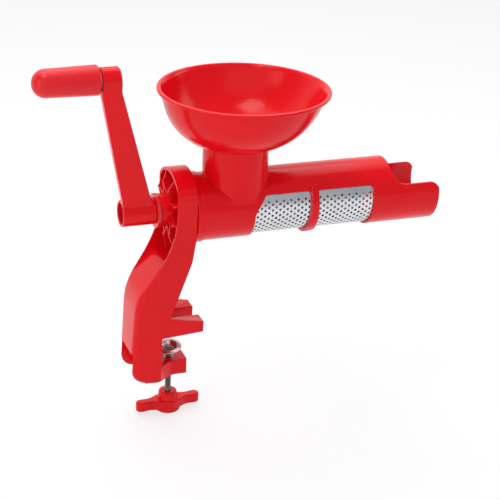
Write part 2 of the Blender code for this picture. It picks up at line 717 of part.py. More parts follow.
def make_hopper():
    """A round bowl set a little off its spigot, which plugs into the neck."""
    wall = HOPPER_WALL
    spigot = NECK_BORE_R - GAP
    top = HOPPER_HEIGHT
    bowl = [(top * height, HOPPER_R * radius) for height, radius in HOPPER_STATIONS]
    lip = HOPPER_R + LIP_WIDTH
    profile = [(-SPIGOT_LENGTH, spigot), (0.0, spigot), (0.0, NECK_R - MM)]
    profile += bowl
    profile += [(top - LIP_HEIGHT, HOPPER_R), (top - 2.2 * MM, lip - MM), (top - MM, lip)]
    profile += [(top, lip - MM), (top, HOPPER_R - wall + MM)]
    profile += [(height + wall * 0.8, radius - wall * 0.75) for height, radius in reversed(bowl)]
    profile += [(wall, spigot - SPIGOT_WALL + 0.8 * MM), (-SPIGOT_LENGTH, spigot - SPIGOT_WALL)]
    mesh = turned("hopper", profile, 36, "Z")
    for vertex in mesh.vertices:
        vertex.co.x += (HOPPER_X - NECK_X) * max(0.0, vertex.co.z) / top
    return add("hopper_funnel", mesh, RED, barrel, (NECK_X, 0.0, NECK_TOP + GAP))


def make_screen():
    """The sheet is drawn flat, with a lozenge of cells round each hole, then rolled and thickened."""
    pitch = (SCREEN_END_X - SCREEN_START_X) / SCREEN_COLUMNS
    step = math.tau / SCREEN_ROWS
    bm = bmesh.new()
    grid = {}

    def node(i, j):
        """Corner i half-pitches along and j rows round."""
        if (i, j) not in grid:
            grid[i, j] = bm.verts.new((SCREEN_START_X + pitch * i / 2, j * step, 0.0))
        return grid[i, j]

    last = 2 * SCREEN_COLUMNS
    for j in range(SCREEN_ROWS):
        for i in range(last + 1):
            if (i + j) % 2:
                continue
            ring = [node(max(0, i - 1), j), node(i, j - 1), node(min(last, i + 1), j), node(i, j + 1)]
            angle = j * step
            if i in (0, last) or min(angle, math.tau - angle) < SCREEN_PLAIN:
                bm.faces.new((ring[0], ring[1], ring[2]))
                bm.faces.new((ring[0], ring[2], ring[3]))
                continue
            centre = (SCREEN_START_X + pitch * i / 2, angle)
            spread = SCREEN_HOLE_ROUND / SCREEN_R
            places = ((-SCREEN_HOLE_LONG, 0.0), (0.0, -spread), (SCREEN_HOLE_LONG, 0.0), (0.0, spread))
            hole = [bm.verts.new((centre[0] + x, centre[1] + a, 0.0)) for x, a in places]
            for k in range(4):
                bm.faces.new((ring[k], ring[(k + 1) % 4], hole[(k + 1) % 4], hole[k]))
    for vertex in bm.verts:
        angle = vertex.co.y
        vertex.co = (vertex.co.x, SCREEN_R * math.sin(angle), SCREEN_R * math.cos(angle))
    mesh = finished(bm, "strainer_screen")
    screen = add("strainer_screen", mesh, STEEL, barrel)
    thicken = screen.modifiers.new("sheet", "SOLIDIFY")
    thicken.thickness = SCREEN_WALL
    thicken.offset = -1.0
    slant = [
        (SCREEN_START_X - 20 * MM, -4 * MM),
        (SCREEN_START_X - MM, -4 * MM),
        (SCREEN_START_X + WINDOW_SLANT * 2.1, 2 * BARREL_R),
        (SCREEN_START_X - 20 * MM, 2 * BARREL_R),
    ]
    points = [Vector(p) for p in slant]
    cut(screen, "screen_slant", plate("screen_slant", points, -2 * BARREL_R, 2 * BARREL_R, "XZ"), barrel)
    return screen


def make_auger():
    """A core that thickens towards the outlet, with one helical flight and a square drive socket."""
    nose = AUGER_END_X
    profile = [
        (AUGER_START_X, 0.0),
        (AUGER_START_X, AUGER_CORE_START),
        (nose - AUGER_NOSE, AUGER_CORE_END),
        (nose, AUGER_CORE_END - AUGER_NOSE),
        (nose, 0.0),
    ]
    auger = add("auger", turned("auger", profile, 20), NYLON, crank)
    start = AUGER_START_X + 4 * MM
    turns = (nose - AUGER_NOSE - 4 * MM - start) / FLIGHT_PITCH
    root = AUGER_CORE_START - 2 * MM
    flight = [
        (start - FLIGHT_WALL * 0.8, root),
        (start + FLIGHT_WALL * 0.8, root),
        (start + FLIGHT_WALL / 2, FLIGHT_R),
        (start - FLIGHT_WALL / 2, FLIGHT_R),
    ]
    join(auger, "flight", turned("flight", flight, round(turns * 16), "X", turns, FLIGHT_PITCH * turns), crank)
    socket = prism("auger_socket", 4, (SHAFT_SQUARE + GAP) * math.sqrt(2), 0.0, SHAFT_RIGHT_X + GAP,
                   "X", math.radians(45))
    cut(auger, "auger_socket", socket, crank)
    return auger


def make_spring():
    """Compression spring between the thrust washer and the auger."""
    low = HOUSING_INSIDE_X + SEAL_WIDTH + THRUST_WIDTH + 3 * GAP + SPRING_WIRE_R
    high = AUGER_START_X - GAP - SPRING_WIRE_R
    curve = bpy.data.curves.new("auger_spring", "CURVE")
    curve.dimensions = "3D"
    curve.bevel_depth = SPRING_WIRE_R
    curve.bevel_resolution = 0
    curve.use_fill_caps = True
    spline = curve.splines.new("POLY")
    count = SPRING_TURNS * 10
    spline.points.add(count)
    for k, point in enumerate(spline.points):
        angle = math.tau * SPRING_TURNS * k / count
        x = low + (high - low) * k / count
        point.co = (x, SPRING_R * math.sin(angle), SPRING_R * math.cos(angle), 1.0)
    spring = bpy.data.objects.new("auger_spring", curve)
    curve.materials.append(STEEL)
    spring.parent = crank
    parts.objects.link(spring)
    return spring


def washer(name, low, high, inner, outer, finish, parent, steps=16, axis="X"):
    profile = [(low, inner), (low, outer), (high, outer), (high, inner)]
    return add(name, turned(name, profile, steps, axis), finish, parent)


def make_shaft_line():
    """Shaft, bush, seal, thrust washer and the disc under the crank."""
    profile = [
        (SHAFT_SHOULDER_X, 0.0),
        (SHAFT_SHOULDER_X, SHAFT_R),
        (SHAFT_DRIVE_X, SHAFT_R),
        (SHAFT_DRIVE_X, 0.0),
    ]
    shaft = add("drive_shaft", turned("drive_shaft", profile, 16), STEEL, crank)
    square = SHAFT_SQUARE * math.sqrt(2)
    bar = prism("shaft_square", 4, square, SHAFT_LEFT_X, SHAFT_RIGHT_X, "X", math.radians(45))
    join(shaft, "shaft_square", bar, crank)
    pilot = prism("shaft_pilot", 16, SCREW_SHANK_R + GAP, SHAFT_LEFT_X - MM, SHAFT_LEFT_X + 14 * MM)
    cut(shaft, "shaft_pilot", pilot, crank)
    inner = SHAFT_R + RUN
    profile = [
        (BOSS_LEFT_X, inner),
        (BOSS_LEFT_X, BUSH_FLANGE_R),
        (BOSS_LEFT_X + BUSH_FLANGE, BUSH_FLANGE_R),
        (BOSS_LEFT_X + BUSH_FLANGE, BUSH_R),
        (CHEEK_RIGHT_X, BUSH_R),
        (CHEEK_RIGHT_X, inner),
    ]
    add("shaft_bush", turned("shaft_bush", profile, 20), NYLON, barrel)
    start = HOUSING_INSIDE_X + GAP
    washer("shaft_seal", start, start + SEAL_WIDTH, inner, SEAL_R, RUBBER, barrel)
    start += SEAL_WIDTH + GAP
    washer("thrust_washer", start, start + THRUST_WIDTH, inner, THRUST_R, STEEL, barrel)


def arm_outline():
    """Front view of the crank arm, from the hub's top up to the grip boss."""
    return round_corners([
        (ARM_FOOT_LEFT_X, 0.0),
        (HUB_RIGHT_X - MM, 0.0),
        (HUB_RIGHT_X - MM, 11 * MM),
        (ARM_FOOT_RIGHT_X, 17 * MM, ARM_FLARE_R),
        (GRIP_BOSS_RIGHT_X, CRANK_R - 9 * MM, 8 * MM),
        (GRIP_BOSS_RIGHT_X, CRANK_R),
        (GRIP_BOSS_LEFT_X, CRANK_R),
        (GRIP_BOSS_LEFT_X, CRANK_R - 14 * MM, 8 * MM),
    ])


def lean_faces(mesh, front_foot, front_top, back_foot, back_top):
    """Sets a plate's front and back faces at depths that change along the arm."""
    for vertex in mesh.vertices:
        share = vertex.co.z / CRANK_R
        front = front_foot + (front_top - front_foot) * share
        back = back_foot + (back_top - back_foot) * share
        vertex.co.y = -front if vertex.co.y < 0 else back
    return mesh


def make_crank():
    """Crank arm with its hub and grip boss, the screw that holds it, the axle and the turning grip."""
    front = (ARM_FACE_FOOT, ARM_FACE_TOP)
    back = (ARM_DEPTH - ARM_FACE_FOOT, ARM_DEPTH - ARM_FACE_TOP)
    blank = lean_faces(plate("crank_arm", arm_outline(), -MM, MM, "XZ"), *front, *back)
    arm = add("crank_arm", blank, RED, crank)
    pocket = round_corners([
        (ARM_FOOT_LEFT_X - ARM_WALL * -1.4, HUB_R + 4 * MM, 2 * MM),
        (ARM_FOOT_RIGHT_X - ARM_WALL * 1.6, HUB_R + 4 * MM, 2 * MM),
        (GRIP_BOSS_RIGHT_X - ARM_WALL, CRANK_R - GRIP_BOSS_R - 5 * MM, 2 * MM),
        (GRIP_BOSS_LEFT_X + ARM_WALL, CRANK_R - GRIP_BOSS_R - 5 * MM, 2 * MM),
    ])
    hollow = plate("arm_pocket", pocket, -MM, MM, "XZ")
    lean_faces(hollow, front[0] - ARM_WALL, front[1] - ARM_WALL, BEYOND, BEYOND)
    cut(arm, "arm_pocket", hollow, crank)
    join(arm, "crank_hub", prism("crank_hub", 40, HUB_R, HUB_LEFT_X, HUB_RIGHT_X), crank)
    boss = prism("grip_boss", 36, GRIP_BOSS_R, GRIP_BOSS_LEFT_X, GRIP_BOSS_RIGHT_X)
    join(arm, "grip_boss", boss, crank, (0.0, 0.0, CRANK_R))
    recess = HUB_LEFT_X + HUB_RECESS
    cut(arm, "hub_recess", prism("hub_recess", 40, HUB_RECESS_R, HUB_LEFT_X - MM, recess), crank)
    socket = prism("hub_socket", 4, (SHAFT_SQUARE + GAP) * math.sqrt(2), recess - MM, HUB_RIGHT_X + MM,
                   "X", math.radians(45))
    cut(arm, "hub_socket", socket, crank)
    axle_bore = prism("axle_bore", 24, AXLE_R + GAP, GRIP_BOSS_LEFT_X - MM, GRIP_BOSS_RIGHT_X - 4 * MM)
    cut(arm, "axle_bore", axle_bore, crank, (0.0, 0.0, CRANK_R))

    disc_left = HUB_RIGHT_X + GAP
    disc_right = BOSS_LEFT_X - RUN
    washer("crank_disc", disc_left, disc_right, SHAFT_R + GAP, DISC_R, NYLON, crank, 32)
    seat = recess - GAP
    washer("screw_washer", seat - WASHER_WIDTH, seat, SCREW_SHANK_R + GAP, 8 * MM, STEEL, crank)
    head = recess - WASHER_WIDTH - 2 * GAP
    profile = [
        (head - SCREW_HEAD_HEIGHT, 0.0),
        (head - SCREW_HEAD_HEIGHT, SCREW_HEAD_R * 0.6),
        (head - SCREW_HEAD_HEIGHT * 0.6, SCREW_HEAD_R),
        (head, SCREW_HEAD_R),
        (head, SCREW_SHANK_R),
        (SHAFT_LEFT_X + 12 * MM, SCREW_SHANK_R),
        (SHAFT_LEFT_X + 12 * MM, 0.0),
    ]
    screw = add("crank_screw", turned("crank_screw", profile, 16), STEEL, crank)
    slot = SCREW_HEAD_R + MM
    cut(screw, "screw_slot", box("screw_slot", (head - 5 * MM, -slot, -0.5 * MM),
                                 (head - SCREW_HEAD_HEIGHT * 0.5, slot, 0.5 * MM)), crank)

    axle = [(AXLE_LEFT_X, 0.0), (AXLE_LEFT_X, AXLE_R), (GRIP_BOSS_RIGHT_X - 4 * MM - GAP, AXLE_R),
            (GRIP_BOSS_RIGHT_X - 4 * MM - GAP, 0.0)]
    add("grip_axle", turned("grip_axle", axle, 12), STEEL, grip_axis)
    low, high = GRIP_RIGHT_X + GAP, GRIP_BOSS_LEFT_X - GAP
    washer("grip_washer", low, high, AXLE_R + GAP, 9 * MM, NYLON, grip_axis)
    bore = AXLE_R + RUN
    dome = [(GRIP_LEFT_X + GRIP_R * (1 - math.cos(a)), GRIP_R * math.sin(a))
            for a in (math.radians(90) * k / 6 for k in range(7))]
    profile = dome + [
        (GRIP_RIGHT_X - GRIP_CHAMFER, GRIP_R),
        (GRIP_RIGHT_X, GRIP_R - GRIP_CHAMFER),
        (GRIP_RIGHT_X, bore),
        (AXLE_LEFT_X - RUN, bore),
        (AXLE_LEFT_X - RUN, 0.0),
    ]
    add("grip", turned("grip", profile, 24), GRIP_RED, grip_axis)


def make_clamp():
    """Nut in the lower jaw, screw with its cup washer and wing knob."""
    nut_low = BLOCK_TOP - NUT_HEIGHT
    nut = add("clamp_nut", prism("clamp_nut", 6, NUT_FLATS / math.sqrt(3), nut_low, BLOCK_TOP, "Z"), STEEL)
    cut(nut, "nut_bore", prism("nut_bore", 24, SCREW_R + GAP, nut_low - MM, BLOCK_TOP + MM, "Z"))
    seat = PAD_RIM_Z - PAD_DEPTH
    profile = [
        (seat, SCREW_R + GAP),
        (seat, PAD_SEAT_R + 1.6 * MM),
        (seat + 1.6 * MM, PAD_R - 3 * MM),
        (PAD_RIM_Z - 1.8 * MM, PAD_R - 0.6 * MM),
        (PAD_RIM_Z - 0.8 * MM, PAD_R),
        (PAD_RIM_Z, PAD_R),
        (PAD_RIM_Z, PAD_R - PAD_WALL),
        (PAD_RIM_Z - 1.3 * MM, PAD_R - PAD_WALL - 0.7 * MM),
        (seat + 1.6 * MM + PAD_WALL * 0.6, PAD_R - 3 * MM - PAD_WALL * 0.8),
        (seat + PAD_WALL, PAD_SEAT_R + 1.6 * MM - PAD_WALL * 0.4),
        (seat + PAD_WALL, SCREW_R + GAP),
    ]
    add("clamp_pad", turned("clamp_pad", profile, 20, "Z"), CHROME, clamp)
    shoulder = seat - GAP
    knob_foot = KNOB_TOP_Z - KNOB_HEIGHT
    rivet = seat + PAD_WALL + GAP
    rod = [
        (knob_foot + 4 * MM, 0.0),
        (knob_foot + 4 * MM, SCREW_R),
        (rivet + 1.6 * MM, SCREW_R),
        (rivet + 2.2 * MM, SCREW_R - 0.6 * MM),
        (rivet + 2.2 * MM, 0.0),
    ]
    add("clamp_screw", turned("clamp_screw", rod, 16, "Z"), STEEL, clamp)
    hole = SCREW_R + GAP
    collar_r = PAD_SEAT_R + 0.4 * MM
    washer("pad_clip", rivet, rivet + 1.2 * MM, hole, PAD_SEAT_R + 0.6 * MM, STEEL, clamp, 16, "Z")
    washer("pad_collar", shoulder - 1.4 * MM, shoulder, hole, collar_r, STEEL, clamp, 16, "Z")
    wing = []
    for side in (1, -1):
        wing += [
            (side * WING_SPAN, -side * WING_HALF, WING_HALF * 0.9),
            (side * WING_SPAN, side * WING_HALF, WING_HALF * 0.9),
            (side * WING_SPAN * 0.55, side * WING_HALF * 0.75, 14 * MM),
        ]
        wing.append((-side * 0.0, side * (KNOB_HUB_R + 2 * MM), KNOB_HUB_R))
        wing.append((-side * WING_SPAN * 0.55, side * WING_HALF * 0.75, 14 * MM))
    wing_low = knob_foot + WING_RISE
    mesh = plate("wing_knob", round_corners(wing, math.radians(20)), wing_low, wing_low + WING_HEIGHT)
    knob = add("wing_knob", mesh, RED, clamp, (0.0, 0.0, 0.0), (0.0, 0.0, WING_TURN))
    hub = [
        (knob_foot, 0.0),
        (knob_foot, KNOB_HUB_R - 1.5 * MM),
        (knob_foot + WING_RISE / 2, KNOB_HUB_R + 0.4 * MM),
        (knob_foot + WING_RISE + FACE_STEP, KNOB_HUB_R + 0.4 * MM),
        (wing_low + WING_HEIGHT - FACE_STEP, KNOB_TOP_R + 1.4 * MM),
        (KNOB_TOP_Z - 1.2 * MM, KNOB_TOP_R),
        (KNOB_TOP_Z, KNOB_TOP_R - 1.2 * MM),
        (KNOB_TOP_Z, 0.0),
    ]
    join(knob, "knob_hub", turned("knob_hub", hub, 32, "Z"), clamp)
    cut(knob, "knob_bore", prism("knob_bore", 24, SCREW_R + GAP, knob_foot + 4 * MM - GAP, 0.0, "Z"), clamp)


def make_outlet_ring():
    """Ring at the screen's outlet end, which narrows the way out for skins and seeds."""
    low = SCREEN_END_X + GAP
    high = low + OUTLET_RING_WIDTH
    washer("outlet_ring", low, high, SCREEN_R - OUTLET_RING_DEPTH, SCREEN_R, RED, barrel, 36)


barrel = empty("barrel_axis", (0.0, 0.0, AXIS_Z))
crank = empty("crank_axis", (0.0, 0.0, AXIS_Z), (CRANK_TILT, 0.0, 0.0))
grip_axis = empty("grip_axis", (0.0, 0.0, CRANK_R), parent=crank)
clamp = empty("clamp_axis", (0.0, 0.0, 0.0))

make_stand()
make_housing()
make_hopper()
make_screen()
make_outlet_ring()
make_auger()
make_spring()
make_shaft_line()
make_crank()
make_clamp()
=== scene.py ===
import math

import bmesh
import bpy
from mathutils import Matrix, Vector


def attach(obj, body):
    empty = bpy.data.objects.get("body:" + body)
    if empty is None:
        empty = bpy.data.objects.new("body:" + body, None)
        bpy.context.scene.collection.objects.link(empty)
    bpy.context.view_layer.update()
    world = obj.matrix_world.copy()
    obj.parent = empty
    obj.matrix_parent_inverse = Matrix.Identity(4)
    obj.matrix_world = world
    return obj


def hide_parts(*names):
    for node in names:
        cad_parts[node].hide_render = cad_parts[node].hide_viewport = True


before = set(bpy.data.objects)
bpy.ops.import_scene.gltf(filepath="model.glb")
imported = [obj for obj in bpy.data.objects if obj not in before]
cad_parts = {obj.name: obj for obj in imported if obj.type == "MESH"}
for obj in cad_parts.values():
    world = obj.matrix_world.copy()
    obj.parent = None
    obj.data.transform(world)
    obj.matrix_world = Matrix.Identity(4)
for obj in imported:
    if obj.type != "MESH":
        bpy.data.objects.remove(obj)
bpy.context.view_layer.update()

# The clamp stand: one red gloss moulding, with an arch round the shaft boss, two cheeks, a curved
# back web, two fingers above and a tongue below that grip the table's edge. Its edges are softly
# rounded by the mould, and its faces carry the faint waviness of thick moulded plastic.
MM = 0.001
WELD = 0.001 * MM
FLAT_ANGLE = math.radians(0.4)
PRONG_END_X = 27.5 * MM
TIP_ROUND = 1.4 * MM


def node_maker(name):
    """A new finish: its material, node tree and shader, and the piece's own coordinates."""
    made = bpy.data.materials.new(name)
    made.use_nodes = True
    tree = made.node_tree
    shader = tree.nodes["Principled BSDF"]
    place = tree.nodes.new("ShaderNodeTexCoord")
    return made, tree, shader, place.outputs["Object"]


def noise(tree, place, scale, detail=2.0, stretch=(1.0, 1.0, 1.0)):
    """A cloudy pattern in the piece's own space, stretched where the finish runs one way."""
    mapping = tree.nodes.new("ShaderNodeMapping")
    mapping.inputs["Scale"].default_value = stretch
    tree.links.new(place, mapping.inputs["Vector"])
    texture = tree.nodes.new("ShaderNodeTexNoise")
    texture.inputs["Scale"].default_value = scale
    texture.inputs["Detail"].default_value = detail
    tree.links.new(mapping.outputs["Vector"], texture.inputs["Vector"])
    return texture.outputs["Fac"]


def spread(tree, value, low=0.0, high=1.0):
    """Maps the middle of a cloudy pattern to a range."""
    node = tree.nodes.new("ShaderNodeMapRange")
    node.inputs["From Min"].default_value = 0.3
    node.inputs["From Max"].default_value = 0.7
    node.inputs["To Min"].default_value = low
    node.inputs["To Max"].default_value = high
    tree.links.new(value, node.inputs["Value"])
    return node.outputs["Result"]


def blend_colours(tree, value, first, second):
    """Two colours mixed by a pattern."""
    mix = tree.nodes.new("ShaderNodeMix")
    mix.data_type = "RGBA"
    mix.inputs["A"].default_value = (*first, 1.0)
    mix.inputs["B"].default_value = (*second, 1.0)
    tree.links.new(value, mix.inputs["Factor"])
    return mix.outputs["Result"]


def relief(tree, height, depth, strength, under):
    """Bumps of a given depth, laid on the normal of what is under them."""
    bump = tree.nodes.new("ShaderNodeBump")
    bump.inputs["Distance"].default_value = depth
    bump.inputs["Strength"].default_value = strength
    tree.links.new(height, bump.inputs["Height"])
    tree.links.new(under, bump.inputs["Normal"])
    return bump.outputs["Normal"]


def soft_edges(tree, radius):
    """The small radius that a mould leaves on each edge and in each inside corner."""
    bevel = tree.nodes.new("ShaderNodeBevel")
    bevel.samples = 6
    bevel.inputs["Radius"].default_value = radius
    return bevel.outputs["Normal"]


def moulded(name, light, dark, gloss, grain, edge, sheen=0.4):
    """Moulded plastic: slow shifts of tone, uneven gloss, a wavy skin and a very fine grain."""
    made, tree, shader, place = node_maker(name)
    tone = spread(tree, noise(tree, place, scale=14.0, detail=3.0))
    tree.links.new(blend_colours(tree, tone, dark, light), shader.inputs["Base Color"])
    polish = noise(tree, place, scale=60.0, detail=4.0)
    tree.links.new(spread(tree, polish, *gloss), shader.inputs["Roughness"])
    shader.inputs["IOR"].default_value = 1.5
    shader.inputs["Specular IOR Level"].default_value = sheen
    normal = soft_edges(tree, edge)
    waves = noise(tree, place, scale=22.0, detail=1.0)
    normal = relief(tree, waves, depth=0.6 * MM, strength=0.08, under=normal)
    normal = relief(tree, noise(tree, place, grain), depth=0.02 * MM, strength=0.4, under=normal)
    tree.links.new(normal, shader.inputs["Normal"])
    return made


gloss_red = moulded("gloss_red", light=(0.80, 0.004, 0.010), dark=(0.73, 0.003, 0.008),
                    gloss=(0.14, 0.23), grain=1400.0, edge=0.9 * MM, sheen=0.2)


def settle(bm, name, finish, smooth=32):
    """A bmesh as a piece: doubles merged, faces out, smooth up to its edges, flat faces flat."""
    bmesh.ops.remove_doubles(bm, verts=bm.verts, dist=WELD)
    bmesh.ops.recalc_face_normals(bm, faces=bm.faces)
    mesh = bpy.data.meshes.new(name)
    bm.to_mesh(mesh)
    bm.free()
    return settle_mesh(mesh, name, finish, smooth)


def settle_mesh(mesh, name, finish, smooth=32):
    """A mesh as a piece with one finish, smooth wherever it turns by less than the given degrees."""
    mesh.name = name
    mesh.materials.clear()
    mesh.materials.append(finish)
    mesh.shade_smooth()
    mesh.set_sharp_from_angle(angle=math.radians(smooth))
    piece = bpy.data.objects.new(name, mesh)
    bpy.context.scene.collection.objects.link(piece)
    weigh = piece.modifiers.new("even normals", "WEIGHTED_NORMAL")
    weigh.keep_sharp = True
    return piece


# The solid has the stand's whole shape, so the piece is that solid, welded to smooth round faces.
stand_shape = bmesh.new()
stand_shape.from_mesh(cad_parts["clamp_stand"].data)
bmesh.ops.remove_doubles(stand_shape, verts=stand_shape.verts, dist=2 * WELD)
bmesh.ops.dissolve_limit(stand_shape, angle_limit=FLAT_ANGLE, verts=stand_shape.verts,
                         edges=stand_shape.edges)
tips = [edge for edge in stand_shape.edges
        if min(vertex.co.x for vertex in edge.verts) > PRONG_END_X - 0.3 * MM]
bmesh.ops.bevel(stand_shape, geom=tips, offset=TIP_ROUND, offset_type="OFFSET", segments=4,
                profile=0.5, affect="EDGES", clamp_overlap=True, material=-1)
stand = settle(stand_shape, "stand", gloss_red)
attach(stand, "stand")
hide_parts("clamp_stand")


# The strainer body: barrel, collar, neck, hood and open trough in one gloss red moulding, with two
# windows under the barrel, where what is strained runs out, and a raised rib between them. Three
# hooks behind its collar twist into slots in the stand and hold it there.
AXIS_Z = 125 * MM
ON_AXIS = (0.0, 0.0, AXIS_Z)
BARREL_R = 33 * MM
BORE_R = 31 * MM
COLLAR = (16.8 * MM, 24.8 * MM, 34.1 * MM)
REAR_WALL_X = 20 * MM
SHAFT_HOLE_R = 6.4 * MM
HOOD_END_X = 218.3 * MM
TROUGH_END_X = 267 * MM
TROUGH_TOP = 14 * MM
WINDOW_TOP = 16.7 * MM
WINDOW_FRONT_X = (85 * MM, 73.5 * MM, 72.5 * MM)
WINDOW_END_X = 196.7 * MM
WINDOW_CORNER = 3 * MM
RIB = (131.2 * MM, 138.2 * MM, 34.6 * MM)
RIB_REACH = 22 * MM
RIB_INSIDE = BORE_R - 2 * MM
NECK_X = 62.6 * MM
NECK_R = 31.5 * MM
NECK_BORE_R = 28.9 * MM
NECK_TOP = 61.2 * MM
NECK_TURN = math.radians(0.7)
HOOKS = (35, 155, 275)
HOOK_HALF = 11
HOOK_X = (9.6 * MM, 12.2 * MM, 17.8 * MM)
HOOK_R = (20.5 * MM, 23.2 * MM, 25.4 * MM)
THROUGH = (-2 * BARREL_R, 2 * BARREL_R)
OVER = 0.2 * MM
BEYOND = 10 * MM
FINE = 160


def rounded(corners, step=9.0):
    """A closed outline whose corners (x, y, radius) become arcs, in facets of so many degrees."""
    outline = []
    for i, corner in enumerate(corners):
        here = Vector(corner[:2])
        radius = corner[2] if len(corner) > 2 else 0.0
        if not radius:
            outline.append(here)
            continue
        before = (Vector(corners[i - 1][:2]) - here).normalized()
        after = (Vector(corners[(i + 1) % len(corners)][:2]) - here).normalized()
        half = before.angle(after) / 2
        middle = here + (before + after).normalized() * radius / math.sin(half)
        arm = here + before * radius / math.tan(half) - middle
        turn = math.pi - 2 * half
        side = math.copysign(1.0, before.y * after.x - before.x * after.y)
        facets = max(2, round(math.degrees(turn) / step))
        outline += [middle + Matrix.Rotation(side * turn * k / facets, 2) @ arm
                    for k in range(facets + 1)]
    return outline


def lathe(profile, axis="X", steps=FINE, centre=(0.0, 0.0, 0.0)):
    """A closed solid turned from an outline of (place along the axis, radius). Shapes that are
    joined on one axis get different numbers of steps, so that their facets cross cleanly."""
    bm = bmesh.new()
    points = [bm.verts.new((radius, 0.0, along)) for along, radius in profile]
    edges = []
    for first, second in zip(points, points[1:] + points[:1]):
        if first.co.x > 1e-9 or second.co.x > 1e-9:
            edges.append(bm.edges.new((first, second)))
    bmesh.ops.spin(bm, geom=points + edges, cent=(0, 0, 0), axis=(0, 0, 1), dvec=(0, 0, 0),
                   angle=math.tau, steps=steps, use_merge=True, use_duplicate=False)
    bmesh.ops.remove_doubles(bm, verts=bm.verts, dist=WELD)
    bmesh.ops.recalc_face_normals(bm, faces=bm.faces)
    if axis == "X":
        quarter = Matrix.Rotation(math.radians(90), 3, "Y")
        bmesh.ops.rotate(bm, verts=bm.verts, cent=(0, 0, 0), matrix=quarter)
    bmesh.ops.translate(bm, verts=bm.verts, vec=centre)
    return bm


def rod(radius, low, high, axis="X", steps=FINE, centre=(0.0, 0.0, 0.0), edge=0.0):
    """A round bar, its end edges rounded where an edge radius is given."""
    outline = [(low, 0.0), (low, radius, edge), (high, radius, edge), (high, 0.0)]
    return lathe(rounded(outline, 30.0), axis, steps, centre)


def slab(outline, low, high, plane="XZ", edge=0.0, segments=3):
    """A flat outline extruded across its plane, its edges rounded."""
    bm = bmesh.new()
    face = bm.faces.new([bm.verts.new((x, y, low)) for x, y in outline])
    grown = bmesh.ops.extrude_face_region(bm, geom=[face])["geom"]
    top = [item for item in grown if isinstance(item, bmesh.types.BMVert)]
    bmesh.ops.translate(bm, verts=top, vec=(0, 0, high - low))
    if edge:
        rims = [e for e in bm.edges if abs(e.verts[0].co.z - e.verts[1].co.z) < 1e-9]
        bmesh.ops.bevel(bm, geom=rims, offset=edge, offset_type="OFFSET", segments=segments,
                        profile=0.5, affect="EDGES", clamp_overlap=True, material=-1)
    turns = {
        "XY": Matrix.Identity(4),
        "XZ": Matrix(((1, 0, 0, 0), (0, 0, 1, 0), (0, 1, 0, 0), (0, 0, 0, 1))),
        "YZ": Matrix(((0, 0, 1, 0), (1, 0, 0, 0), (0, 1, 0, 0), (0, 0, 0, 1))),
    }
    bmesh.ops.transform(bm, matrix=turns[plane], verts=bm.verts)
    bmesh.ops.recalc_face_normals(bm, faces=bm.faces)
    return bm


def sector(profile, start, end, steps):
    """An outline of (x, radius) swept round the X axis between two angles, from the top to +Y."""
    bm = bmesh.new()
    face = bm.faces.new([bm.verts.new((x, 0.0, r)) for x, r in profile])
    bmesh.ops.rotate(bm, verts=bm.verts, cent=(0, 0, 0), matrix=Matrix.Rotation(-start, 3, "X"))
    bmesh.ops.spin(bm, geom=[face], cent=(0, 0, 0), axis=(1, 0, 0), dvec=(0, 0, 0),
                   angle=start - end, steps=steps, use_merge=False, use_duplicate=False)
    bmesh.ops.recalc_face_normals(bm, faces=bm.faces)
    return bm


def carve(body, steps, place=Matrix.Identity(4)):
    """Joins and cuts a body in turn, each step ("UNION" or "DIFFERENCE", shape), and gives the
    mesh that is left, moved to its place."""
    def laid(bm):
        mesh = bpy.data.meshes.new("shape")
        bm.to_mesh(mesh)
        bm.free()
        made = bpy.data.objects.new("shape", mesh)
        bpy.context.scene.collection.objects.link(made)
        return made

    blank = laid(body)
    tools = []
    for operation, shape in steps:
        tool = laid(shape)
        tools.append(tool)
        modifier = blank.modifiers.new("step", "BOOLEAN")
        modifier.operation = operation
        modifier.solver = "EXACT"
        modifier.object = tool
    carved = blank.evaluated_get(bpy.context.evaluated_depsgraph_get())
    mesh = bpy.data.meshes.new_from_object(carved)
    for used in tools + [blank]:
        bpy.data.objects.remove(used)
    mesh.transform(place)
    return mesh


barrel_outline = rounded([
    (COLLAR[0], 0.0), (COLLAR[0], COLLAR[2], 0.6 * MM), (COLLAR[1], COLLAR[2], 0.5 * MM),
    (COLLAR[1], BARREL_R, 0.4 * MM), (TROUGH_END_X, BARREL_R, 0.7 * MM), (TROUGH_END_X, 0.0)],
    step=22.5)
neck = rod(NECK_R, 0.0, NECK_TOP, "Z", 144, (NECK_X, 0.0, 0.0), 0.5 * MM)
bmesh.ops.rotate(neck, verts=neck.verts, cent=(NECK_X, 0, 0),
                 matrix=Matrix.Rotation(NECK_TURN, 3, "Z"))
rib_start = math.acos(RIB_REACH / RIB[2])
rib_band = rounded([
    (RIB[0] - OVER, RIB_INSIDE), (RIB[1] + OVER, RIB_INSIDE),
    (RIB[1] + OVER, RIB[2], 0.6 * MM), (RIB[0] - OVER, RIB[2], 0.6 * MM)], step=30.0)
first_window = rounded([
    (RIB[0], WINDOW_TOP, WINDOW_CORNER), (WINDOW_FRONT_X[0], WINDOW_TOP, WINDOW_CORNER),
    (WINDOW_FRONT_X[1], 0.0, 14 * MM), (WINDOW_FRONT_X[2], THROUGH[0]), (RIB[0], THROUGH[0])])
second_window = rounded([
    (WINDOW_END_X, WINDOW_TOP, WINDOW_CORNER), (RIB[1], WINDOW_TOP, WINDOW_CORNER),
    (RIB[1], THROUGH[0]), (WINDOW_END_X, THROUGH[0])])
trough_cut = rounded([
    (HOOD_END_X, THROUGH[1]), (HOOD_END_X, TROUGH_TOP, 14 * MM),
    (TROUGH_END_X + OVER, TROUGH_TOP, 9 * MM), (TROUGH_END_X + OVER, -MM),
    (TROUGH_END_X + 2 * BEYOND, -MM), (TROUGH_END_X + 2 * BEYOND, THROUGH[1])])
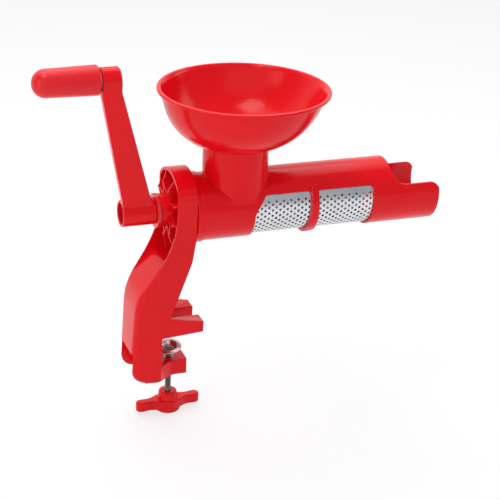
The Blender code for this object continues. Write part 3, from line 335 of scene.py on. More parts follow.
body_steps = [
    ("UNION", neck),
    ("UNION", sector(rib_band, rib_start, math.tau - rib_start, 130)),
    ("DIFFERENCE", rod(BORE_R, REAR_WALL_X, TROUGH_END_X + BEYOND, steps=156)),
    ("DIFFERENCE", rod(NECK_BORE_R, 2 * MM, NECK_TOP + BEYOND, "Z", 140, (NECK_X, 0.0, 0.0))),
    ("DIFFERENCE", rod(SHAFT_HOLE_R, 0.0, REAR_WALL_X + MM, steps=64)),
    ("DIFFERENCE", slab(first_window, *THROUGH)),
    ("DIFFERENCE", slab(second_window, *THROUGH)),
    ("DIFFERENCE", slab(trough_cut, *THROUGH)),
]
hook = [(HOOK_X[0], HOOK_R[0]), (HOOK_X[2], HOOK_R[0]), (HOOK_X[2], HOOK_R[1]),
        (HOOK_X[1], HOOK_R[1]), (HOOK_X[1], HOOK_R[2]), (HOOK_X[0], HOOK_R[2])]
for middle in HOOKS:
    first, last = math.radians(middle - HOOK_HALF), math.radians(middle + HOOK_HALF)
    body_steps.append(("UNION", sector(hook, first, last, 12)))
housing_mesh = carve(lathe(barrel_outline), body_steps, Matrix.Translation(ON_AXIS))
housing = settle_mesh(housing_mesh, "strainer_body", gloss_red)
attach(housing, "stand")
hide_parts("body_housing")


# The hopper: a thin gloss red bowl, wider than it is deep, with a narrow lip and a short spigot that
# plugs into the neck. The bowl leans a few millimetres off the spigot, as the moulded one does.
HOPPER_TOP = 53.7 * MM
HOPPER_R = 78.6 * MM
HOPPER_SHIFT = 6.3 * MM
BOWL = ((0.019, 0.44), (0.043, 0.49), (0.075, 0.545), (0.104, 0.59), (0.142, 0.64), (0.255, 0.74),
        (0.391, 0.825), (0.549, 0.893), (0.718, 0.945), (0.887, 0.985), (0.938, 0.995))
BOWL_WALL = 1.6 * MM
LIP_R = 82.2 * MM
SPIGOT_R = NECK_BORE_R - 0.3 * MM
SPIGOT_END = -16 * MM


def eased(points, between=5):
    """A smooth line through the given points."""
    points = [Vector(p) for p in points]
    ends = [points[0] * 2 - points[1]] + points + [points[-1] * 2 - points[-2]]
    line = []
    for a, b, c, d in zip(ends, ends[1:], ends[2:], ends[3:]):
        for k in range(between):
            t = k / between
            line.append(0.5 * (2 * b + (c - a) * t + (2 * a - 5 * b + 4 * c - d) * t ** 2
                               + (3 * b - a - 3 * c + d) * t ** 3))
    return line + [points[-1]]


outside = eased([(HOPPER_TOP * up, HOPPER_R * out) for up, out in BOWL])
inside = []
for before, here, after in zip(outside, outside[1:], outside[2:]):
    along = (after - before).normalized()
    inside.append(here + Vector((along.y, -along.x)) * BOWL_WALL)
lip = rounded([
    (HOPPER_TOP - 3.4 * MM, HOPPER_R - 0.2 * MM, 0.4 * MM),
    (HOPPER_TOP - 2.6 * MM, LIP_R, 1.1 * MM), (HOPPER_TOP, LIP_R, 1.2 * MM),
    (HOPPER_TOP, HOPPER_R + 0.2 * MM, 0.9 * MM),
    (HOPPER_TOP - 2.4 * MM, HOPPER_R - BOWL_WALL + 0.1 * MM)], step=22.5)
hopper_outline = [(SPIGOT_END, SPIGOT_R), (0.0, SPIGOT_R), (0.0, NECK_R - MM)]
hopper_outline += [tuple(p) for p in outside + lip + inside[::-1]]
hopper_outline += [(2.4 * MM, SPIGOT_R - 1.2 * MM), (SPIGOT_END, SPIGOT_R - 2.2 * MM)]
hopper_shape = lathe(hopper_outline, "Z", 192)
for vertex in hopper_shape.verts:
    vertex.co.x += HOPPER_SHIFT * max(0.0, vertex.co.z) / HOPPER_TOP
bmesh.ops.translate(hopper_shape, verts=hopper_shape.verts,
                    vec=(NECK_X, 0.0, AXIS_Z + NECK_TOP + 0.3 * MM))
hopper = settle(hopper_shape, "hopper", gloss_red)
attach(hopper, "hopper")
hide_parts("hopper_funnel")


# The strainer screen: thin stainless sheet, punched with staggered rows of small round holes except
# for a plain band along its top, rolled to a tube and slid into the barrel from its mouth.
SCREEN_R = 30.7 * MM
SCREEN_WALL = 0.6 * MM
SCREEN = (71 * MM, 203 * MM)
HOLE_PITCH = 7.54 * MM
HOLE_R = 1.25 * MM
HOLE_START = 1.7 * MM
HOLE_MARGIN = 8 * MM
PUNCH_DEPTH = 6 * MM
ROW_TURN = math.radians(5.3)
PLAIN_TURN = math.radians(72.1)
GRAIN_ALONG_X = (0.04, 1.0, 1.0)


def brushed_steel(name, light, dark, gloss, grain, stretch=(1.0, 1.0, 1.0), edge=0.3 * MM,
                  depth=0.02 * MM):
    """Bare metal with fine lines along one direction and faint clouding."""
    made, tree, shader, place = node_maker(name)
    lines = noise(tree, place, grain, detail=3.0, stretch=stretch)
    cloud = spread(tree, noise(tree, place, scale=40.0, detail=3.0))
    tree.links.new(blend_colours(tree, cloud, dark, light), shader.inputs["Base Color"])
    tree.links.new(spread(tree, lines, *gloss), shader.inputs["Roughness"])
    shader.inputs["Metallic"].default_value = 1.0
    normal = relief(tree, lines, depth, strength=0.35, under=soft_edges(tree, edge))
    tree.links.new(normal, shader.inputs["Normal"])
    return made


stainless = brushed_steel("stainless", light=(0.78, 0.78, 0.80), dark=(0.66, 0.67, 0.70),
                          gloss=(0.20, 0.34), grain=900.0, stretch=GRAIN_ALONG_X)
# Near-black steel: painted shade for the inside of the screen and the walls of its holes.
painted_shade_steel = brushed_steel("painted_shade_steel", light=(0.05, 0.05, 0.055), dark=(0.03, 0.03, 0.035),
                           gloss=(0.45, 0.60), grain=600.0, stretch=GRAIN_ALONG_X)

# A pair of rows, the second half a pitch further along, is repeated round the tube.
holes = bmesh.new()
bmesh.ops.create_cone(holes, cap_ends=True, segments=12, radius1=HOLE_R, radius2=HOLE_R,
                      depth=PUNCH_DEPTH,
                      matrix=Matrix.Translation((SCREEN[0] + HOLE_START, 0.0, SCREEN_R)))
holes_along = int((SCREEN[1] - SCREEN[0] - HOLE_MARGIN) / HOLE_PITCH)
bmesh.ops.spin(holes, geom=holes.faces[:], cent=(0, 0, 0), axis=(1, 0, 0), angle=0.0,
               dvec=(HOLE_PITCH, 0, 0), steps=holes_along, use_duplicate=True)
second_row = bmesh.ops.duplicate(holes, geom=holes.faces[:])["geom"]
second_row = [item for item in second_row if isinstance(item, bmesh.types.BMVert)]
bmesh.ops.translate(holes, verts=second_row, vec=(HOLE_PITCH / 2, 0.0, 0.0))
bmesh.ops.rotate(holes, verts=second_row, cent=(0, 0, 0),
                 matrix=Matrix.Rotation(ROW_TURN, 3, "X"))
bmesh.ops.rotate(holes, verts=holes.verts, cent=(0, 0, 0),
                 matrix=Matrix.Rotation(PLAIN_TURN, 3, "X"))
pairs = math.ceil((math.tau - 2 * PLAIN_TURN) / (2 * ROW_TURN))
bmesh.ops.spin(holes, geom=holes.faces[:], cent=(0, 0, 0), axis=(1, 0, 0), dvec=(0, 0, 0),
               angle=2 * ROW_TURN * (pairs - 1), steps=pairs - 1, use_duplicate=True)
bmesh.ops.recalc_face_normals(holes, faces=holes.faces)
tube = lathe([(SCREEN[0], SCREEN_R), (SCREEN[1], SCREEN_R), (SCREEN[1], SCREEN_R - SCREEN_WALL),
              (SCREEN[0], SCREEN_R - SCREEN_WALL)], steps=60)
bmesh.ops.rotate(tube, verts=tube.verts, cent=(0, 0, 0),
                 matrix=Matrix.Rotation(PLAIN_TURN + ROW_TURN / 2, 3, "X"))
slant = [(51 * MM, -4 * MM), (70 * MM, -4 * MM), (95 * MM, 66 * MM), (51 * MM, 66 * MM)]
screen_steps = [("DIFFERENCE", holes), ("DIFFERENCE", slab(slant, *THROUGH))]
screen_mesh = carve(tube, screen_steps, Matrix.Translation(ON_AXIS))
screen = settle_mesh(screen_mesh, "screen", stainless, 20)
screen.data.materials.append(painted_shade_steel)

# The sheet's inside and its hole walls take a near-black, rougher steel: painted shade for the dark
# inside of the tube.
for face in screen.data.polygons:
    out = math.hypot(face.center.y, face.center.z - AXIS_Z)
    if out < SCREEN_R - 0.2 * SCREEN_WALL:
        face.material_index = 1
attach(screen, "stand")
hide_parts("strainer_screen")


# The outlet ring: a gloss red moulded ring that closes the screen's outlet end, so that the skins
# leave through its bore.
OUTLET = (203.3 * MM, 209.3 * MM)
OUTLET_R = (24 * MM, 30.7 * MM)

outlet_outline = rounded([
    (OUTLET[0], OUTLET_R[0], 1.2 * MM), (OUTLET[0], OUTLET_R[1]),
    (OUTLET[1], OUTLET_R[1], 0.5 * MM), (OUTLET[1], OUTLET_R[0], 1.2 * MM)], step=22.5)
outlet_ring = settle(lathe(outlet_outline, centre=ON_AXIS), "outlet_collar", gloss_red)
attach(outlet_ring, "stand")
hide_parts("outlet_ring")


# The auger: a white nylon moulding on the drive shaft. Its core thickens towards the outlet, and one
# helical flight, a little clear of the screen, pushes the food along and presses it through the holes.
TILT = math.radians(8)
CRANK_PLACE = Matrix.Translation(ON_AXIS) @ Matrix.Rotation(TILT, 4, "X")
AUGER = (36 * MM, 196 * MM)
CORE = (10 * MM, 17 * MM)
NOSE = 7 * MM
DIMPLE = 2.5 * MM
FLIGHT_R = 29.4 * MM
FLIGHT_ROOT = 8 * MM
FLIGHT_HALF = (1.92 * MM, 1.2 * MM)
FLIGHT_PITCH = 27 * MM
FLIGHT_START = 40 * MM
FLIGHT_TURNS = (AUGER[1] - NOSE - 4 * MM - FLIGHT_START) / FLIGHT_PITCH
TURN_STEPS = 64
SQUARE = 4.1 * MM
SQUARE_HOLE = SQUARE + 0.3 * MM
SQUARE_END_X = 52 * MM

nylon = moulded("nylon", light=(0.74, 0.71, 0.63), dark=(0.67, 0.63, 0.55), gloss=(0.30, 0.44),
                grain=900.0, edge=0.6 * MM)


def square_bar(half, low, high, corner):
    """A square bar along the barrel's axis."""
    outline = rounded([(-half, -half, corner), (half, -half, corner), (half, half, corner),
                       (-half, half, corner)], step=30.0)
    return slab(outline, low, high, "YZ")


auger_core = rounded([
    (AUGER[0], 0.0), (AUGER[0], CORE[0], 0.8 * MM), (AUGER[1] - NOSE, CORE[1], 3 * MM),
    (AUGER[1], CORE[1] - NOSE, 1.5 * MM), (AUGER[1], 5 * MM, 0.6 * MM),
    (AUGER[1] - DIMPLE, 3.5 * MM, 0.6 * MM), (AUGER[1] - DIMPLE, 0.0)], step=15.0)
blade = rounded([
    (FLIGHT_START - FLIGHT_HALF[0], -FLIGHT_ROOT), (FLIGHT_START + FLIGHT_HALF[0], -FLIGHT_ROOT),
    (FLIGHT_START + FLIGHT_HALF[1], -FLIGHT_R, 0.6 * MM),
    (FLIGHT_START - FLIGHT_HALF[1], -FLIGHT_R, 0.6 * MM)], step=30.0)
flight_steps = round(FLIGHT_TURNS * TURN_STEPS)
flight = bmesh.new()
face = flight.faces.new([flight.verts.new((x, 0.0, z)) for x, z in blade])
bmesh.ops.spin(flight, geom=[face], cent=(0, 0, 0), axis=(1, 0, 0),
               angle=math.tau * FLIGHT_TURNS, steps=flight_steps,
               dvec=(FLIGHT_PITCH * FLIGHT_TURNS / flight_steps, 0, 0), use_merge=False,
               use_duplicate=False)
bmesh.ops.recalc_face_normals(flight, faces=flight.faces)
auger_mesh = carve(lathe(auger_core, steps=100), [
    ("UNION", flight),
    ("DIFFERENCE", square_bar(SQUARE_HOLE, AUGER[0] - MM, SQUARE_END_X + 0.3 * MM, 0.4 * MM)),
], CRANK_PLACE)
auger = settle_mesh(auger_mesh, "auger_screw", nylon)
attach(auger, "crank")
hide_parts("auger")


# The auger's spring: three turns of bright wire between the thrust washer and the auger, which push
# the auger against the outlet ring.
SPRING_R = 9.4 * MM
WIRE_R = 0.8 * MM
SPRING = (25.7 * MM, 34.9 * MM)
SPRING_TURNS = 3
COIL_STEPS = 144

wire = brushed_steel("spring_wire", light=(0.66, 0.66, 0.68), dark=(0.48, 0.48, 0.50),
                     gloss=(0.22, 0.36), grain=700.0)


def moved(bm, place):
    """The same shape at another place."""
    bmesh.ops.transform(bm, matrix=place, verts=bm.verts)
    return bm


coil = bmesh.new()
wire_start = Matrix.Translation((SPRING[0], 0.0, SPRING_R)) @ Matrix.Rotation(math.pi / 2, 4, "X")
bmesh.ops.create_circle(coil, cap_ends=True, segments=14, radius=WIRE_R, matrix=wire_start)
bmesh.ops.spin(coil, geom=coil.faces[:], cent=(0, 0, 0), axis=(1, 0, 0),
               angle=-math.tau * SPRING_TURNS, steps=COIL_STEPS,
               dvec=((SPRING[1] - SPRING[0]) / COIL_STEPS, 0, 0), use_merge=False,
               use_duplicate=False)
spring = settle(moved(coil, CRANK_PLACE), "spring", wire, 60)
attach(spring, "crank")
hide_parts("auger_spring")


# The drive shaft: a turned steel bar, round where it runs in the bush and square at both ends, where
# it carries the crank and drives the auger, with a tapped hole for the crank's screw.
SHAFT_R = 6 * MM
SHAFT_ROUND = (-16 * MM, 27 * MM)
SHAFT_SQUARE = (-33 * MM, SQUARE_END_X)
TAPPED_R = 2.5 * MM

turned_steel = brushed_steel("turned_steel", light=(0.62, 0.62, 0.64), dark=(0.50, 0.50, 0.53),
                             gloss=(0.20, 0.34), grain=1100.0, stretch=(1.0, 0.05, 0.05))

shaft_mesh = carve(rod(SHAFT_R, *SHAFT_ROUND, steps=96, edge=0.5 * MM), [
    ("UNION", square_bar(SQUARE, *SHAFT_SQUARE, 0.5 * MM)),
    ("DIFFERENCE", rod(TAPPED_R, SHAFT_SQUARE[0] - MM, -19 * MM, steps=40)),
], CRANK_PLACE)
shaft = settle_mesh(shaft_mesh, "shaft", turned_steel)
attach(shaft, "crank")
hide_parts("drive_shaft")


# The shaft bush: a flanged nylon sleeve pressed into the stand's boss, in which the shaft turns. Its
# flange bears against the crank's disc, and its bore has a chamfer at both ends.
BUSH = (-13.6 * MM, -11.6 * MM, 16.5 * MM)
BUSH_R = (9 * MM, 11.4 * MM)
BORE = SHAFT_R + 0.4 * MM

bush_outline = rounded([
    (BUSH[0], BORE, 0.4 * MM), (BUSH[0], BUSH_R[1], 0.6 * MM), (BUSH[1], BUSH_R[1], 0.4 * MM),
    (BUSH[1], BUSH_R[0]), (BUSH[2], BUSH_R[0], 0.6 * MM), (BUSH[2], BORE, 0.4 * MM)],
    step=30.0)
bush = settle(lathe(bush_outline, steps=96, centre=ON_AXIS), "bush", nylon)
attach(bush, "stand")
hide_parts("shaft_bush")


# The shaft seal: a black rubber ring, moulded with a groove round it, which lies behind the body's
# rear wall and keeps the bush dry.
SEAL = (20.3 * MM, 22.9 * MM)
SEAL_R = 11 * MM
GROOVE_R = 10.4 * MM

rubber = moulded("rubber", light=(0.036, 0.036, 0.038), dark=(0.020, 0.020, 0.022),
                 gloss=(0.55, 0.72), grain=800.0, edge=0.3 * MM)

seal_outline = rounded([
    (SEAL[0], BORE, 0.5 * MM), (SEAL[0], SEAL_R, 0.6 * MM), (21.1 * MM, SEAL_R, 0.3 * MM),
    (21.3 * MM, GROOVE_R, 0.2 * MM), (21.9 * MM, GROOVE_R, 0.2 * MM), (22.1 * MM, SEAL_R, 0.3 * MM),
    (SEAL[1], SEAL_R, 0.6 * MM), (SEAL[1], BORE, 0.5 * MM)], step=30.0)
seal = settle(lathe(seal_outline, steps=96, centre=ON_AXIS), "seal", rubber)
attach(seal, "stand")
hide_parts("shaft_seal")


# The thrust washer: a stamped stainless ring that the spring bears on, its edges rolled over by the
# die. It lies loose on the shaft, against the seal.
THRUST = (23.2 * MM, 24.6 * MM)
THRUST_R = 12 * MM


def ring(low, high, inner, outer, edge, steps=96, axis="X", centre=(0.0, 0.0, 0.0)):
    """A flat ring whose edges are rounded."""
    outline = [(low, inner, edge), (low, outer, edge), (high, outer, edge), (high, inner, edge)]
    return lathe(rounded(outline, 30.0), axis, steps, centre)


thrust_shape = ring(*THRUST, BORE, THRUST_R, 0.3 * MM, centre=ON_AXIS)
thrust = settle(thrust_shape, "thrust_ring", stainless)
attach(thrust, "stand")
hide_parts("thrust_washer")


# The crank: a gloss red arm moulded in one with its hollow hub and its grip boss. The arm leans in
# towards the hub, its edges are softly rounded, and it is hollowed from behind to an even wall.
CRANK_R = 140 * MM
GRIP_CENTRE = (0.0, 0.0, CRANK_R)
HUB = (-50.4 * MM, -18 * MM, 12.8 * MM)
HUB_RECESS = (-36.4 * MM, 10.4 * MM)
GRIP_BOSS = (-75.2 * MM, -57 * MM, 11.3 * MM)
AXLE_HOLE_R = 4.3 * MM
ARM_FACE = (-8 * MM, 2.5 * MM)
ARM_LEAN = 3 * MM
ARM_WALL = 3 * MM
ARM_FOOT_X = -19 * MM
POCKET_HEIGHT = (16.8 * MM, 123 * MM)

arm_outline = rounded([
    (-47.6 * MM, 0.0), (ARM_FOOT_X, 0.0), (ARM_FOOT_X, 11 * MM, 3 * MM),
    (-23.4 * MM, 17 * MM, 9 * MM), (GRIP_BOSS[1], CRANK_R - 9 * MM, 8 * MM),
    (GRIP_BOSS[1], CRANK_R), (GRIP_BOSS[0], CRANK_R),
    (GRIP_BOSS[0], CRANK_R - 14 * MM, 8 * MM)], step=6.0)
arm_pocket = rounded([
    (-43.4 * MM, POCKET_HEIGHT[0], 3 * MM), (-28.4 * MM, POCKET_HEIGHT[0], 3 * MM),
    (GRIP_BOSS[1] - ARM_WALL, POCKET_HEIGHT[1], 3 * MM),
    (GRIP_BOSS[0] + ARM_WALL, POCKET_HEIGHT[1], 3 * MM)], step=15.0)


def leaning(bm):
    """The same shape, its front face leaning out towards the grip."""
    for vertex in bm.verts:
        vertex.co.y -= ARM_LEAN * vertex.co.z / CRANK_R
    return bm


boss_outline = rounded([
    (GRIP_BOSS[0], 0.0), (GRIP_BOSS[0], GRIP_BOSS[2], 0.8 * MM),
    (GRIP_BOSS[1] - 1.5 * MM, GRIP_BOSS[2], 2 * MM),
    (GRIP_BOSS[1], GRIP_BOSS[2] - 2.6 * MM, 1.2 * MM), (GRIP_BOSS[1], 0.0)], step=15.0)
hub_outline = rounded([
    (HUB[0], 0.0), (HUB[0], HUB[2], 0.8 * MM), (HUB[1], HUB[2], 0.6 * MM), (HUB[1], 0.0)],
    step=22.5)
recess_outline = rounded([
    (HUB[0] - MM, 0.0), (HUB[0] - MM, HUB_RECESS[1] + 0.9 * MM),
    (HUB[0] + 0.6 * MM, HUB_RECESS[1], 0.6 * MM),
    (HUB_RECESS[0], HUB_RECESS[1] - 0.3 * MM, 0.8 * MM), (HUB_RECESS[0], 0.0)], step=22.5)
arm_mesh = carve(leaning(slab(arm_outline, *ARM_FACE, "XZ", 1.4 * MM, 4)), [
    ("DIFFERENCE", leaning(slab(arm_pocket, ARM_FACE[0] + ARM_WALL, 30 * MM, "XZ"))),
    ("UNION", lathe(hub_outline, steps=128)),
    ("UNION", lathe(boss_outline, steps=120, centre=GRIP_CENTRE)),
    ("DIFFERENCE", lathe(recess_outline, steps=124)),
    ("DIFFERENCE", square_bar(SQUARE_HOLE, HUB_RECESS[0] - MM, HUB[1] + MM, 0.3 * MM)),
    ("DIFFERENCE", rod(AXLE_HOLE_R, GRIP_BOSS[0] - MM, GRIP_BOSS[1] - 4 * MM, steps=64,
                       centre=GRIP_CENTRE)),
], CRANK_PLACE)
arm = settle_mesh(arm_mesh, "crank", gloss_red)
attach(arm, "crank")
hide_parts("crank_arm")


# The crank's washer disc: translucent nylon between the hub and the stand's boss. Its red is painted
# into its colour: painted light for the red of the mouldings on both sides of it, seen through it.
DISC = (-17.7 * MM, -14 * MM)
DISC_R = (SHAFT_R + 0.3 * MM, 16.8 * MM)

# Red base colour: painted light from the red mouldings round the disc; only a little light passes
# through.
painted_red_nylon = moulded("painted_red_nylon", light=(0.82, 0.025, 0.030), dark=(0.76, 0.015, 0.020),
                     gloss=(0.10, 0.18), grain=900.0, edge=0.3 * MM)
disc_shader = painted_red_nylon.node_tree.nodes["Principled BSDF"]
disc_shader.inputs["Transmission Weight"].default_value = 0.12

disc = moved(ring(*DISC, *DISC_R, 0.7 * MM, 128), CRANK_PLACE)
crank_disc = settle(disc, "crank_spacer", painted_red_nylon)
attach(crank_disc, "crank")
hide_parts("crank_disc")


# The crank's screw and its washer: a zinc plated slotted pan head screw in the hub's hollow end, with
# a stamped flat washer under its head.
HEAD = (-41.4 * MM, -38.2 * MM, 4.6 * MM)
SHANK = (-21.5 * MM, 2.2 * MM)
SLOT_DEPTH = 1.6 * MM
SLOT_HALF = 0.5 * MM
HUB_WASHER = (-37.9 * MM, -36.7 * MM)

zinc = brushed_steel("zinc", light=(0.60, 0.59, 0.57), dark=(0.42, 0.41, 0.40),
                     gloss=(0.26, 0.42), grain=500.0)

screw_outline = rounded([
    (HEAD[0], 0.0), (HEAD[0], 3.4 * MM, 1.6 * MM), (HEAD[0] + 1.3 * MM, HEAD[2], 0.8 * MM),
    (HEAD[1], HEAD[2], 0.3 * MM), (HEAD[1], SHANK[1]), (SHANK[0], SHANK[1], 0.4 * MM),
    (SHANK[0], 0.0)], step=18.0)
slot_cut = slab([(HEAD[0] - MM, -6 * MM), (HEAD[1] - SLOT_DEPTH, -6 * MM),
                 (HEAD[1] - SLOT_DEPTH, 6 * MM), (HEAD[0] - MM, 6 * MM)],
                -SLOT_HALF, SLOT_HALF, "XY")
screw_mesh = carve(lathe(screw_outline, steps=72), [("DIFFERENCE", slot_cut)], CRANK_PLACE)
crank_screw = settle_mesh(screw_mesh, "hub_screw", zinc)
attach(crank_screw, "crank")
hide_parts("crank_screw")
hub_ring = moved(ring(*HUB_WASHER, 2.5 * MM, 8 * MM, 0.25 * MM), CRANK_PLACE)
hub_washer = settle(hub_ring, "hub_washer", zinc)
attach(hub_washer, "crank")
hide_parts("screw_washer")


# The grip's axle and washer: a turned steel pin, fixed in the arm's boss, and a nylon ring that keeps
# the grip off the boss.
GRIP_PLACE = CRANK_PLACE @ Matrix.Translation(GRIP_CENTRE)
AXLE = (-126 * MM, -61.3 * MM)
AXLE_R = 4 * MM
GRIP_WASHER = (-76.5 * MM, -75.5 * MM)

pin = moved(rod(AXLE_R, *AXLE, steps=72, edge=0.8 * MM), GRIP_PLACE)
axle = settle(pin, "grip_pin", turned_steel)
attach(axle, "crank")
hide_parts("grip_axle")
spacer = moved(ring(*GRIP_WASHER, AXLE_HOLE_R, 9 * MM, 0.3 * MM), GRIP_PLACE)
grip_washer = settle(spacer, "grip_spacer", nylon)
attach(grip_washer, "crank")
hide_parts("grip_washer")


# The grip: a satin red handle with a round end and a small chamfer at the arm, bored for its axle. Its
# skin is a little rougher than the rest, with a fine spark-eroded grain.
GRIP = (-137 * MM, -76.8 * MM)
GRIP_R = (12.9 * MM, 13.9 * MM)
GRIP_BORE = (-126.4 * MM, 4.4 * MM)

matte_red = moulded("matte_red", light=(0.76, 0.006, 0.013), dark=(0.68, 0.004, 0.010),
                    gloss=(0.30, 0.40), grain=700.0, edge=0.6 * MM, sheen=0.34)

grip_outline = rounded([
    (GRIP[0], 0.0), (GRIP[0], GRIP_R[0] - 0.2 * MM, GRIP_R[0] - 0.6 * MM),
    (GRIP[1] - 1.6 * MM, GRIP_R[1], 1.5 * MM), (GRIP[1], GRIP_R[1] - 1.6 * MM, 0.6 * MM),
    (GRIP[1], GRIP_BORE[1] + 0.4 * MM, 0.3 * MM), (GRIP[1] - 0.5 * MM, GRIP_BORE[1]),
    GRIP_BORE, (GRIP_BORE[0], 0.0)], step=5.0)
handle = moved(lathe(grip_outline, steps=128), GRIP_PLACE)
grip = settle(handle, "handle", matte_red)
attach(grip, "grip")
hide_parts("grip")


# The clamp's nut: a zinc plated hexagon nut with chamfered corners, held in a pocket of the lower
# jaw. It has gone a little dull and brown, as the threaded rod has.
BLOCK_TOP = -32.5 * MM
NUT_HEIGHT = 5 * MM
NUT_R = 10 * MM / math.sqrt(3)
NUT_TURN = math.radians(1.3)
ROD_HOLE_R = 3.3 * MM

dark_zinc = brushed_steel("dark_zinc", light=(0.40, 0.37, 0.34), dark=(0.22, 0.20, 0.18),
                          gloss=(0.28, 0.45), grain=500.0)

hexagon = bmesh.new()
nut_place = Matrix.Translation((0.0, 0.0, BLOCK_TOP - NUT_HEIGHT / 2))
bmesh.ops.create_cone(hexagon, cap_ends=True, segments=6, radius1=NUT_R, radius2=NUT_R,
                      depth=NUT_HEIGHT, matrix=nut_place @ Matrix.Rotation(NUT_TURN, 4, "Z"))
chamfer = lathe([
    (BLOCK_TOP + MM, NUT_R - 1.9 * MM), (BLOCK_TOP + MM, NUT_R + 3 * MM),
    (BLOCK_TOP - 1.6 * MM, NUT_R + 3 * MM), (BLOCK_TOP - 0.9 * MM, NUT_R + 0.3 * MM),
    (BLOCK_TOP, NUT_R - 0.7 * MM)], "Z", 72)
nut_mesh = carve(hexagon, [
    ("DIFFERENCE", chamfer),
    ("DIFFERENCE", rod(ROD_HOLE_R, BLOCK_TOP - NUT_HEIGHT - MM, BLOCK_TOP + MM, "Z", 60)),
])
nut = settle_mesh(nut_mesh, "jaw_nut", dark_zinc)
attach(nut, "stand")
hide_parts("clamp_nut")


# The clamp's screw: an M6 zinc plated threaded rod with a turned rivet end, which holds the cup washer
# with a clip above it and a collar below it.
ROD = (-88 * MM, -21.5 * MM)
ROD_FOOT_R = 2.9 * MM
NECKED_R = 2.4 * MM
THREAD = (-71.5 * MM, -28 * MM)
THREAD_R = (2.45 * MM, 3 * MM)
PITCH = 1 * MM
RIDGE = ((0.0, 0), (0.12, 0), (0.48, 1), (0.6, 1), (0.98, 0), (1.0, 0))
THREAD_STEPS = 28
SEAT = -25.1 * MM
CLIP_Z = SEAT + 1.4 * MM

threads = bmesh.new()
crests = [threads.verts.new((THREAD_R[level], 0.0, THREAD[0] + share * PITCH))
          for share, level in RIDGE]
slopes = [threads.edges.new(pair) for pair in zip(crests, crests[1:])]
thread_turns = int((THREAD[1] - THREAD[0]) / PITCH)
bmesh.ops.spin(threads, geom=crests + slopes, cent=(0, 0, 0), axis=(0, 0, 1),
               angle=math.tau * thread_turns, steps=THREAD_STEPS * thread_turns,
               dvec=(0, 0, PITCH / THREAD_STEPS), use_merge=False, use_duplicate=False)
bmesh.ops.remove_doubles(threads, verts=threads.verts, dist=4 * WELD)
rod_ends = [
    [(ROD[0], 0.0), (ROD[0], ROD_FOOT_R, 0.4 * MM), (THREAD[0] + 1.6 * MM, ROD_FOOT_R),
     (THREAD[0] + 2.2 * MM, NECKED_R), (THREAD[0] + 2.2 * MM, 0.0)],
    [(THREAD[1] - 1.4 * MM, 0.0), (THREAD[1] - 1.4 * MM, NECKED_R),
     (THREAD[1] - 0.6 * MM, THREAD_R[1]), (ROD[1] - 0.6 * MM, THREAD_R[1], 0.4 * MM),
     (ROD[1], 2.2 * MM, 0.5 * MM), (ROD[1], 0.0)],
]
for corners in rod_ends:
    end = lathe(rounded(corners, 30.0), "Z", 56)
    end_mesh = bpy.data.meshes.new("end")
    end.to_mesh(end_mesh)
    end.free()
    threads.from_mesh(end_mesh)
clamp_rod = settle(threads, "threaded_rod", dark_zinc, 25)
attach(clamp_rod, "screw")
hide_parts("clamp_screw")
clip_ring = ring(CLIP_Z, CLIP_Z + 1.2 * MM, ROD_HOLE_R, 5.2 * MM, 0.35 * MM, 72, "Z")
clip = settle(clip_ring, "rivet_clip", dark_zinc)
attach(clip, "screw")
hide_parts("pad_clip")
foot_ring = ring(SEAT - 1.7 * MM, SEAT - 0.3 * MM, ROD_HOLE_R, 5 * MM, 0.4 * MM, 72, "Z")
collar = settle(foot_ring, "pad_ring", dark_zinc)
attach(collar, "screw")
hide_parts("pad_collar")


# The cup washer: a chrome plated pressing with a sunk middle and a broad, slightly coned rim, loosely
# riveted to the screw's end, so that it turns and tips freely. It presses against the table from below.
PAD_R = 12.8 * MM
CUP_TOP = -20.2 * MM
CUP_FLOOR = SEAT + 1.1 * MM
CUP_BORE_R = 3.7 * MM
CUP_TIP = Matrix.Rotation(math.radians(10), 4, Vector((0.939, -0.342, 0.0)))
CUP_PIVOT = Matrix.Translation((0.0, 0.0, SEAT + 0.5 * MM))

chrome = brushed_steel("chrome_plate", light=(0.70, 0.68, 0.69), dark=(0.52, 0.50, 0.51),
                       gloss=(0.22, 0.34), grain=150.0, depth=0.004 * MM)

cup_outline = rounded([
    (SEAT, CUP_BORE_R, 0.2 * MM), (SEAT, 6 * MM, 1.2 * MM), (SEAT + 2.5 * MM, 8.3 * MM, 1.5 * MM),
    (CUP_TOP - 1.1 * MM, 9.2 * MM, 1 * MM), (CUP_TOP - 1.6 * MM, PAD_R, 0.4 * MM),
    (CUP_TOP - 0.7 * MM, PAD_R, 0.4 * MM), (CUP_TOP, 9.4 * MM, 0.5 * MM),
    (CUP_TOP, 8.6 * MM, 0.6 * MM), (CUP_TOP - 1.8 * MM, 7.4 * MM, 1.5 * MM),
    (CUP_FLOOR, 5.9 * MM, 0.8 * MM), (CUP_FLOOR, CUP_BORE_R, 0.2 * MM)], step=12.0)
cup_shape = moved(lathe(cup_outline, "Z", 128), CUP_PIVOT @ CUP_TIP @ CUP_PIVOT.inverted())
cup = settle(cup_shape, "cup_washer", chrome, 50)
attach(cup, "pad")
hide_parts("clamp_pad")


# The wing knob: a gloss red moulding with two rounded wings and a tapering hub, pressed on the rod's
# foot. It is the lowest piece of the strainer.
KNOB = (-92 * MM, -70.6 * MM)
KNOB_R = 12.7 * MM
KNOB_BORE_Z = -88.3 * MM
WING_LOW = -89 * MM
WING_HEIGHT = 10 * MM
WING_SPAN = 33.6 * MM
WING_HALF = 5.6 * MM
WING_WAIST = 0.55 * WING_SPAN
WING_TURN = math.radians(5)
KNOB_HUB_R = 11.5 * MM

